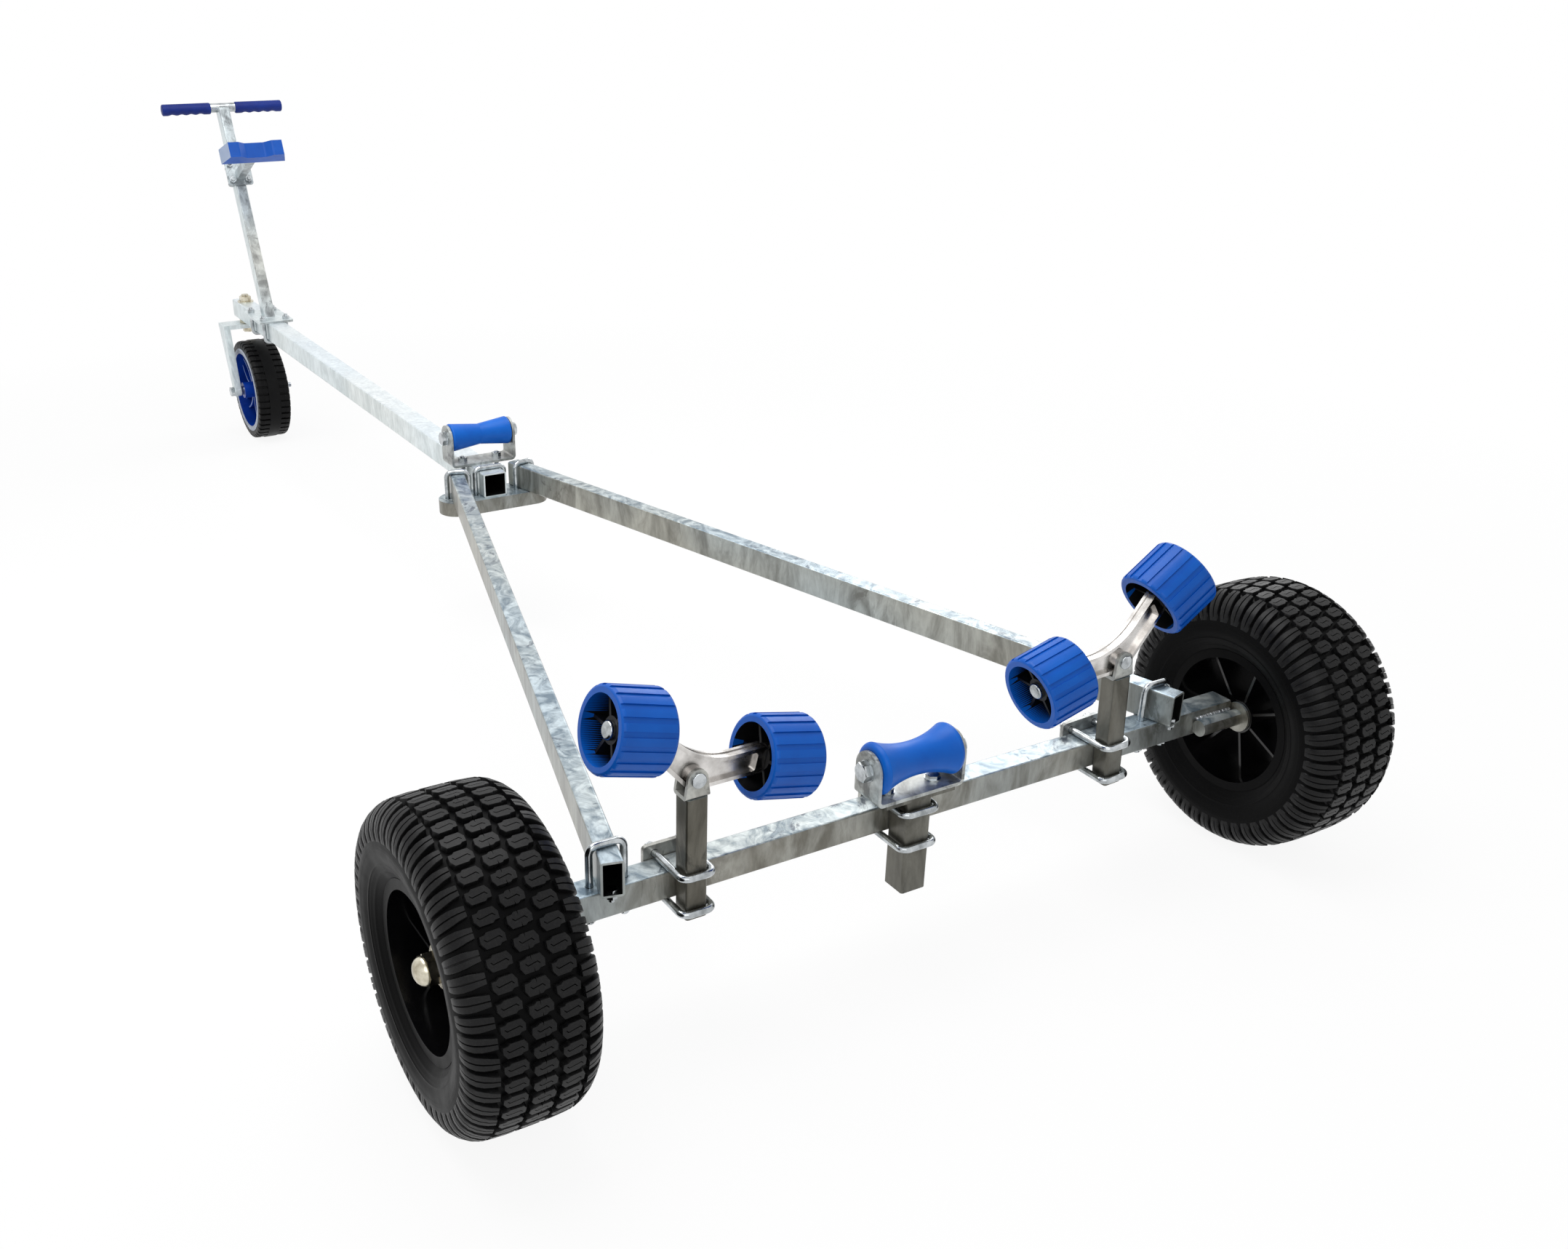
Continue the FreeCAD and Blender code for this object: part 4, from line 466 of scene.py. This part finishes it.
def make_castor_lip(finishes):
    """Pale lips of the castor rim: a low rounded section carried round at both sides."""
    profile = np.array(CASTOR_LIP)
    turn = np.linspace(0, 2 * math.pi, 97)[:-1]
    shapes = []
    for end in (1, -1):
        reach, radius = end * profile[:, 0][:, None] + 0 * turn, profile[:, 1][:, None]
        grid = np.stack((-radius * np.sin(turn), reach, radius * np.cos(turn)), -1) * MM
        shapes.append(turned_out(lattice(grid, close_rows=True, close_columns=True), (0, 0, 0)))
    low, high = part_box("jockey_tyre")
    place = [(a + b) / 2 for a, b in zip(low, high)]
    make_piece("castor_lips", shapes, (finishes["rim_lip"],), "jockey_wheel", (), place)


# Hand grips: sizes in millimetres
GRIP_RADIUS = 15.4
GRIP_ROUND = 4.0
GRIP_WAVE = 2.6
GRIP_WAVES = 4
GRIP_RING = 0.5


def make_grip(side, finishes):
    """Rubber grip: a closed round bar, hollowed below by four finger waves and ringed at its outer end."""
    node = "hand_grip_" + side
    low, high = (np.array(v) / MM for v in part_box(node))
    length = high[1] - low[1]
    along = np.concatenate(([0, 0, 0.6, 2, GRIP_ROUND], np.linspace(6, length - 6, 90),
                            [length - GRIP_ROUND, length - 2, length - 0.6, length, length]))[:, None]
    off = np.maximum(0, GRIP_ROUND - np.minimum(along, length - along))
    radius = GRIP_RADIUS - GRIP_ROUND + np.sqrt(GRIP_ROUND ** 2 - np.minimum(off, GRIP_ROUND) ** 2)
    radius[0], radius[-1] = 0.2, 0.2
    turn = np.linspace(0, 2 * math.pi, 37)[:-1]
    grown = length - along if side == "right" else along
    share = np.clip((grown - 16) / (length - 30), 0, 1)
    wave = GRIP_WAVE * (0.5 - 0.5 * np.cos(2 * math.pi * GRIP_WAVES * share)) * (share > 0) * (share < 1)
    below = np.clip(-np.cos(turn), 0, 1) ** 1.5
    ring = GRIP_RING * np.exp(-((grown - length + 4) / 2.0) ** 2)
    radius = np.minimum(radius - wave * below + ring, GRIP_RADIUS)
    middle = (low + high) / 2
    grid = np.stack((middle[0] + radius * np.sin(turn), low[1] + along + 0 * turn,
                     middle[2] + radius * np.cos(turn)), -1) * MM
    make_piece("finger_grip_" + side, [turned_out(capped(lattice(grid, close_columns=True), len(turn)), middle * MM)],
               (finishes["grip_blue"],), "frame", (node,))


# Threads: the middles of the bolts' ends in millimetres, by the way that they point
FORE, DOWN, UP, LEAN = (0.9994, 0, 0.0358), (0.0358, 0, -0.9994), (-0.0358, 0, 0.9994), (-0.921, 0, 0.390)
THREADS = ((FORE, ((-1512.6, 336.5, 234.7), (-1512.6, 380.5, 234.7), (-1510.8, 336.5, 182.4),
                   (-1510.8, 380.5, 182.4), (-1512.7, -358.8, 235.7), (-1512.6, -314.9, 233.7),
                   (-1510.8, -361.1, 183.3), (-1510.7, -317.2, 181.4), (-1512.6, -3.0, 234.7),
                   (-1512.6, 51.0, 234.7), (-1510.8, -3.0, 182.4), (-1510.8, 51.0, 182.4))),
           (DOWN, ((-1549.5, 434.3, 174.2), (-1549.5, 482.1, 174.2), (-1549.5, -482.1, 174.2),
                   (-1549.5, -434.3, 174.2), (-130.9, 49.2, 259.8), (-119.4, 91.6, 260.3),
                   (-119.5, -98.3, 260.3), (-130.8, -55.7, 259.9), (-125.2, -32.0, 260.1),
                   (-125.2, 32.0, 260.1))),
           (UP, ((1523.7, 32.0, 406.0), (1523.7, -32.0, 406.0), (1397.8, 32.0, 401.5), (1397.8, -32.0, 401.5),
                 (-64.2, 32.0, 345.3), (-64.2, -44.0, 345.3))),
           (LEAN, ((1592.5, -22.0, 798.3), (1592.5, 22.0, 798.3), (1575.0, -22.0, 756.8),
                   (1575.0, 22.0, 756.8))))
THREAD_LENGTH = 13.0
BOLT_CORE = 5.0
CASTOR_THREAD_LENGTH = 14.0
CASTOR_THREAD_REACH = 11.0
CASTOR_THREAD_CORE = 6.8
THREAD_PITCH = 1.75
THREAD_DEPTH = 0.55


def thread(end, way, core, length):
    """Threaded end: a rod whose radius rises and falls along it, shifted by a pitch in each turn round it."""
    way = np.array(way) / np.linalg.norm(way)
    side = np.cross(way, (0, 1, 0) if abs(way[1]) < 0.5 else (1, 0, 0))
    side /= np.linalg.norm(side)
    other = np.cross(way, side)
    columns = 16
    turn = np.arange(columns) * (2 * math.pi / columns)
    along = np.linspace(-length, 0, int(length / THREAD_PITCH * 4) + 1)[:, None]
    phase = (along / THREAD_PITCH + turn / (2 * math.pi)) % 1
    fade = np.clip(-along / 1.5, 0, 1)
    radius = core + 0.1 + THREAD_DEPTH * (1 - np.abs(2 * phase - 1)) * fade
    radius = np.concatenate((radius, radius[-1:] - 0.9))
    along = np.concatenate((along, [[0.6]]))
    grid = (np.array(end) + along[..., None] * way + (radius * np.cos(turn))[..., None] * side
            + (radius * np.sin(turn))[..., None] * other) * MM
    return turned_out(capped(lattice(grid, close_columns=True), columns), (np.array(end) - way * length / 2) * MM)


def make_threads(finishes):
    """Threads on the ends of the bolts and of the castor's axle."""
    shapes = [thread(end, way, BOLT_CORE, THREAD_LENGTH) for way, ends in THREADS for end in ends]
    make_piece("bolt_threads", shapes, (finishes["bright_zinc"],), "frame")
    low, high = (np.array(v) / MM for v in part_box("jockey_axle"))
    end = ((low[0] + high[0]) / 2, low[1] - CASTOR_THREAD_REACH, (low[2] + high[2]) / 2)
    shape = thread(end, (0, -1, 0), CASTOR_THREAD_CORE, CASTOR_THREAD_LENGTH)
    make_piece("castor_axle_thread", [shape], (finishes["bright_zinc"],), "castor")


# Hub caps: reach out from the outer face of the nut, and radius, in millimetres
WASHER = ((-19.0, 14.0), (-19.0, 26.5), (-18.5, 27.0), (-17.0, 27.0), (-16.5, 26.5), (-16.5, 14.0))
CAP = ((-0.5, 0.1), (-0.5, 18.0), (0.6, 19.0), (1.8, 18.8), (4.5, 17.6), (8.0, 15.2), (11.0, 11.6), (12.8, 7.2),
       (13.6, 3.0), (13.8, 0.1))


def make_hub_cap(side, finishes):
    """Domed cap on the hub nut and the washer behind it: two profiles carried round the axle."""
    low, high = (np.array(v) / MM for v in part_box("hub_nut_" + side))
    end = 1 if side == "left" else -1
    face = high[1] if side == "left" else low[1]
    turn = np.linspace(0, 2 * math.pi, 49)[:-1]
    shapes = []
    for profile in (CAP, WASHER):
        reach, radius = (np.array(profile)[:, i][:, None] for i in (0, 1))
        grid = np.stack(((low[0] + high[0]) / 2 - radius * np.sin(turn), face + end * reach + 0 * turn,
                         (low[2] + high[2]) / 2 + radius * np.cos(turn)), -1) * MM
        shape = lattice(grid, close_rows=profile is WASHER, close_columns=True)
        if profile is CAP:
            shape = capped(shape, len(turn))
        shapes.append(turned_out(shape, grid.mean((0, 1))))
    make_piece("hub_cap_" + side, shapes, (finishes["gold_zinc"],), "frame")


# Welds: both ends of each bead, and the beads' radius, in millimetres
WELDS = (((-1572.0, 530.0, 213.5), (-1572.0, 602.0, 213.5)), ((-1572.4, 530.0, 193.0), (-1572.4, 602.0, 193.0)),
         ((-1572.0, -530.0, 213.5), (-1572.0, -602.0, 213.5)),
         ((-1572.4, -530.0, 193.0), (-1572.4, -602.0, 193.0)))
WELD_RADIUS = 3.4


def bead(start, end, thick):
    """Weld bead: a round bar with scalloped ripples along it and tapered ends."""
    start, end = np.array(start), np.array(end)
    length = np.linalg.norm(end - start)
    way = (end - start) / length
    side = np.cross(way, (0, 0, 1))
    other = np.cross(way, side)
    along = np.linspace(0, length, 73)[:, None]
    ripple = np.abs(np.sin(along * math.pi / 3.6))
    taper = np.clip(np.minimum(along, length - along) / 3.0, 0.02, 1) ** 0.5
    turn = np.arange(12) * (2 * math.pi / 12)
    radius = thick * (0.8 + 0.2 * ripple + 0.08 * np.sin(along * 0.9)) * taper + 0 * turn
    grid = (start + along[..., None] * way + (radius * np.cos(turn))[..., None] * side
            + (radius * np.sin(turn))[..., None] * other) * MM
    return turned_out(capped(lattice(grid, close_columns=True), len(turn)), (start + end) / 2 * MM)


def make_welds(finishes):
    """Weld beads between the stub bars and the beam."""
    beads = [bead(start, end, WELD_RADIUS) for start, end in WELDS]
    make_piece("stub_welds", beads, (finishes["weld"],), "frame")


# Finishes on the CAD nodes

# Bars whose inner walls are painted near black as shade.
HOLLOW_BARS = ("axle_beam", "side_arm_left", "side_arm_right", "drawbar", "keel_post", "rocker_post_left",
               "rocker_post_right")
RIM_DISH_RADIUS = 0.098


def faces_of(node):
    """Middle and unit normal of every face of a node."""
    mesh = NODES[node].data
    count = len(mesh.polygons)
    middles, normals = np.empty(3 * count), np.empty(3 * count)
    mesh.polygons.foreach_get("center", middles)
    mesh.polygons.foreach_get("normal", normals)
    return middles.reshape(-1, 3), normals.reshape(-1, 3)


def dress(node, *paints, choice=None):
    """Finishes of a node; the choice gives the number of each face's finish."""
    mesh = NODES[node].data
    mesh.materials.clear()
    for paint in paints:
        mesh.materials.append(paint)
    if choice is not None:
        mesh.polygons.foreach_set("material_index", choice.astype(np.int32))


def axis_place(body, points):
    """Distance of points from a joint's axis, and along it from the joint's place."""
    joint = JOINTS[body]
    axis = np.array(joint["axis"])
    axis /= np.linalg.norm(axis)
    local = points - np.array(joint["pos_m"])
    along = local @ axis
    return np.linalg.norm(local - along[:, None] * axis, axis=1), along


def inner_wall(node, middles, normals):
    """Whether each face of a bar looks in towards the line through its middle, as the inner wall does."""
    vertices = NODES[node].data.vertices
    points = np.empty(3 * len(vertices))
    vertices.foreach_get("co", points)
    points = points.reshape(-1, 3)
    way = np.linalg.svd(points - points.mean(0), full_matrices=False)[2][0]
    off = middles - points.mean(0)
    off -= (off @ way)[:, None] * way
    return ((off * normals).sum(1) < 0) & (np.abs(normals @ way) < 0.5)


def dress_nodes(finishes):
    """Puts the finishes on every CAD node that shows."""
    top_and = {"axle_beam": "zinc_bar", "side_arm_left": "zinc_arm", "side_arm_right": "zinc_arm",
               "drawbar": "zinc_pale", "cross_channel": "zinc_bar", "keel_post": "zinc_post",
               "rocker_post_left": "zinc_post", "rocker_post_right": "zinc_post", "stub_axle_left": "zinc_bar",
               "stub_axle_right": "zinc_bar"}
    for node, side in top_and.items():
        middles, normals = faces_of(node)
        # Faces that look up get the lighter top finish: painted top light.
        choice = (normals[:, 2] > 0.7) * 1
        if node in HOLLOW_BARS:
            # Inner walls get the near-black finish: painted shade inside the hollow bars.
            choice[inner_wall(node, middles, normals)] = 2
        top = "zinc_white_painted_light" if side == "zinc_pale" else "zinc_top_painted_light"
        dress(node, finishes[side], finishes[top], finishes["zinc_inside_painted_shade"], choice=choice)
    plain = {"zinc_plate": ("clamp_plate_left", "clamp_plate_right", "keel_clamp_plate", "keel_bracket_rear",
                            "keel_bracket_front", "yoke_left", "yoke_right", "snubber_bracket"),
             "zinc_pale": ("castor_fork",),
             "bright_zinc": ("clamp_bolts_left", "clamp_bolts_right", "keel_clamp_bolts", "rear_arm_bolts",
                             "junction_bolts", "keel_bracket_bolts", "post_bolts", "keel_axle_rear",
                             "keel_axle_front", "roller_bolts_left", "roller_bolts_right", "rocker_pin_left",
                             "rocker_pin_right", "jockey_axle", "handle_bar", "hub_nut_right"),
             "gold_zinc": ("castor_bolt", "hub_nut_left"),
             "cast_metal": ("rocker_left", "rocker_right"),
             "keel_blue": ("keel_roller_rear", "keel_roller_front"),
             "grip_blue": ("hand_grip_left", "hand_grip_right")}
    for finish, nodes in plain.items():
        for node in nodes:
            dress(node, finishes[finish])
    for side in ("left", "right"):
        for place in ("outer", "inner"):
            node = f"roller_{side}_{place}"
            middles, normals = faces_of(node)
            reach, along = axis_place(node, middles)
            inside = (reach < 0.0455) & (np.abs(along - along.mean()) < 0.5 * np.ptp(along) - 0.012)
            dress(node, finishes["roller_blue"], finishes["core_black"], choice=inside)
    for side in ("left", "right"):
        middles, normals = faces_of("rim_" + side)
        reach, along = axis_place("wheel_" + side, middles)
        dress("rim_" + side, finishes["rim_black"], finishes["wall_rubber"], choice=reach > RIM_DISH_RADIUS)
    middles, normals = faces_of("jockey_rim")
    reach, along = axis_place("jockey_wheel", middles)
    flat = np.abs(normals[:, 1]) > 0.8
    choice = (flat & (reach > 0.107)) * 1
    # Flat faces of the web near 24 mm out at either side take the paler blue: a painted highlight on them.
    choice[flat & (np.abs(np.abs(along) - 0.024) < 0.004) & (reach > 0.024) & (reach < 0.107)] = 2
    dress("jockey_rim", finishes["rim_blue"], finishes["rim_lip"], finishes["rim_painted_highlight"], choice=choice)
    middles, normals = faces_of("handle_post")
    # Faces that look along X take the darker mottled plate finish: painted shade on those sides.
    dress("handle_post", finishes["zinc_pale"], finishes["zinc_plate"], choice=np.abs(normals[:, 0]) > 0.6)
    middles, normals = faces_of("snubber_block")
    # End faces that look towards +Y take the pale finish: a painted sheen on them.
    dress("snubber_block", finishes["snubber_blue"], finishes["snubber_end_painted_sheen"], choice=normals[:, 1] > 0.9)


# Stage

FLOOR_HALF = 40.0


def seen_rays(tree):
    """1 for rays from the camera, off gloss and through glass; 0 for the rest."""
    path = added(tree, "ShaderNodeLightPath").outputs
    total = added(tree, "ShaderNodeMath", {0: path["Is Camera Ray"], 1: path["Is Glossy Ray"]},
                  operation="MAXIMUM").outputs[0]
    return added(tree, "ShaderNodeMath", {0: total, 1: path["Is Transmission Ray"]},
                 operation="MAXIMUM").outputs[0]


def make_floor():
    """White floor that keeps the soft shadow near the trolley and is plain white further off."""
    mesh = bpy.data.meshes.new("floor")
    corners = [(-FLOOR_HALF, -FLOOR_HALF, 0), (FLOOR_HALF, -FLOOR_HALF, 0), (FLOOR_HALF, FLOOR_HALF, 0),
               (-FLOOR_HALF, FLOOR_HALF, 0)]
    mesh.from_pydata(corners, [], [(0, 1, 2, 3)])
    floor = bpy.data.objects.new("floor", mesh)
    bpy.context.scene.collection.objects.link(floor)
    paint, tree, shader = fresh("floor")
    shader.inputs["Base Color"].default_value = (0.93, 0.93, 0.93, 1)
    shader.inputs["Roughness"].default_value = 0.9
    shader.inputs["Specular IOR Level"].default_value = 0.1
    seen = seen_rays(tree)
    white = added(tree, "ShaderNodeEmission", {"Color": (1, 1, 1, 1), "Strength": 1.0}).outputs[0]
    place = added(tree, "ShaderNodeTexCoord").outputs["Object"]
    away = added(tree, "ShaderNodeVectorMath", {0: place}, operation="LENGTH").outputs["Value"]
    share = added(tree, "ShaderNodeMapRange", {"Value": away, "From Min": 1.6, "From Max": 3.2, "To Min": 0.9,
                                               "To Max": 1.0}).outputs[0]
    share = added(tree, "ShaderNodeMath", {0: share, 1: seen}, operation="MULTIPLY").outputs[0]
    mixed = added(tree, "ShaderNodeMixShader", {0: share, 1: shader.outputs[0], 2: white}).outputs[0]
    tree.links.new(mixed, tree.nodes["Material Output"].inputs["Surface"])
    mesh.materials.append(paint)


def make_light():
    """Soft studio light: a large lamp overhead, one from the far side and one from behind the camera."""
    for place, energy, size in (((-0.4, 0.6, 3.4), 100.0, 3.0), ((1.5, -3.2, 2.6), 40.0, 2.2),
                                ((-4.2, 2.0, 2.4), 24.0, 2.4)):
        data = bpy.data.lights.new("lamp", "AREA")
        data.energy = energy
        data.size = size
        lamp = bpy.data.objects.new("lamp", data)
        lamp.location = place
        lamp.rotation_euler = (Vector((-0.4, 0, 0.2)) - lamp.location).to_track_quat("-Z", "Y").to_euler()
        bpy.context.scene.collection.objects.link(lamp)
    world = bpy.data.worlds.new("world")
    world.use_nodes = True
    tree = world.node_tree
    strength = added(tree, "ShaderNodeMapRange", {"Value": seen_rays(tree), "To Min": 0.38, "To Max": 1.0})
    tree.nodes["Background"].inputs["Color"].default_value = (1, 1, 1, 1)
    tree.links.new(strength.outputs[0], tree.nodes["Background"].inputs["Strength"])
    bpy.context.scene.world = world


FINISHES = make_finishes()
make_camera()
make_floor()
make_light()
dress_nodes(FINISHES)
for wheel_side in ("left", "right"):
    make_turf_tyre(wheel_side, FINISHES)
    make_grip(wheel_side, FINISHES)
    make_hub_cap(wheel_side, FINISHES)
make_castor_tyre(FINISHES)
make_castor_lip(FINISHES)
make_threads(FINISHES)
make_welds(FINISHES)
bpy.context.scene.view_settings.view_transform = "Standard"
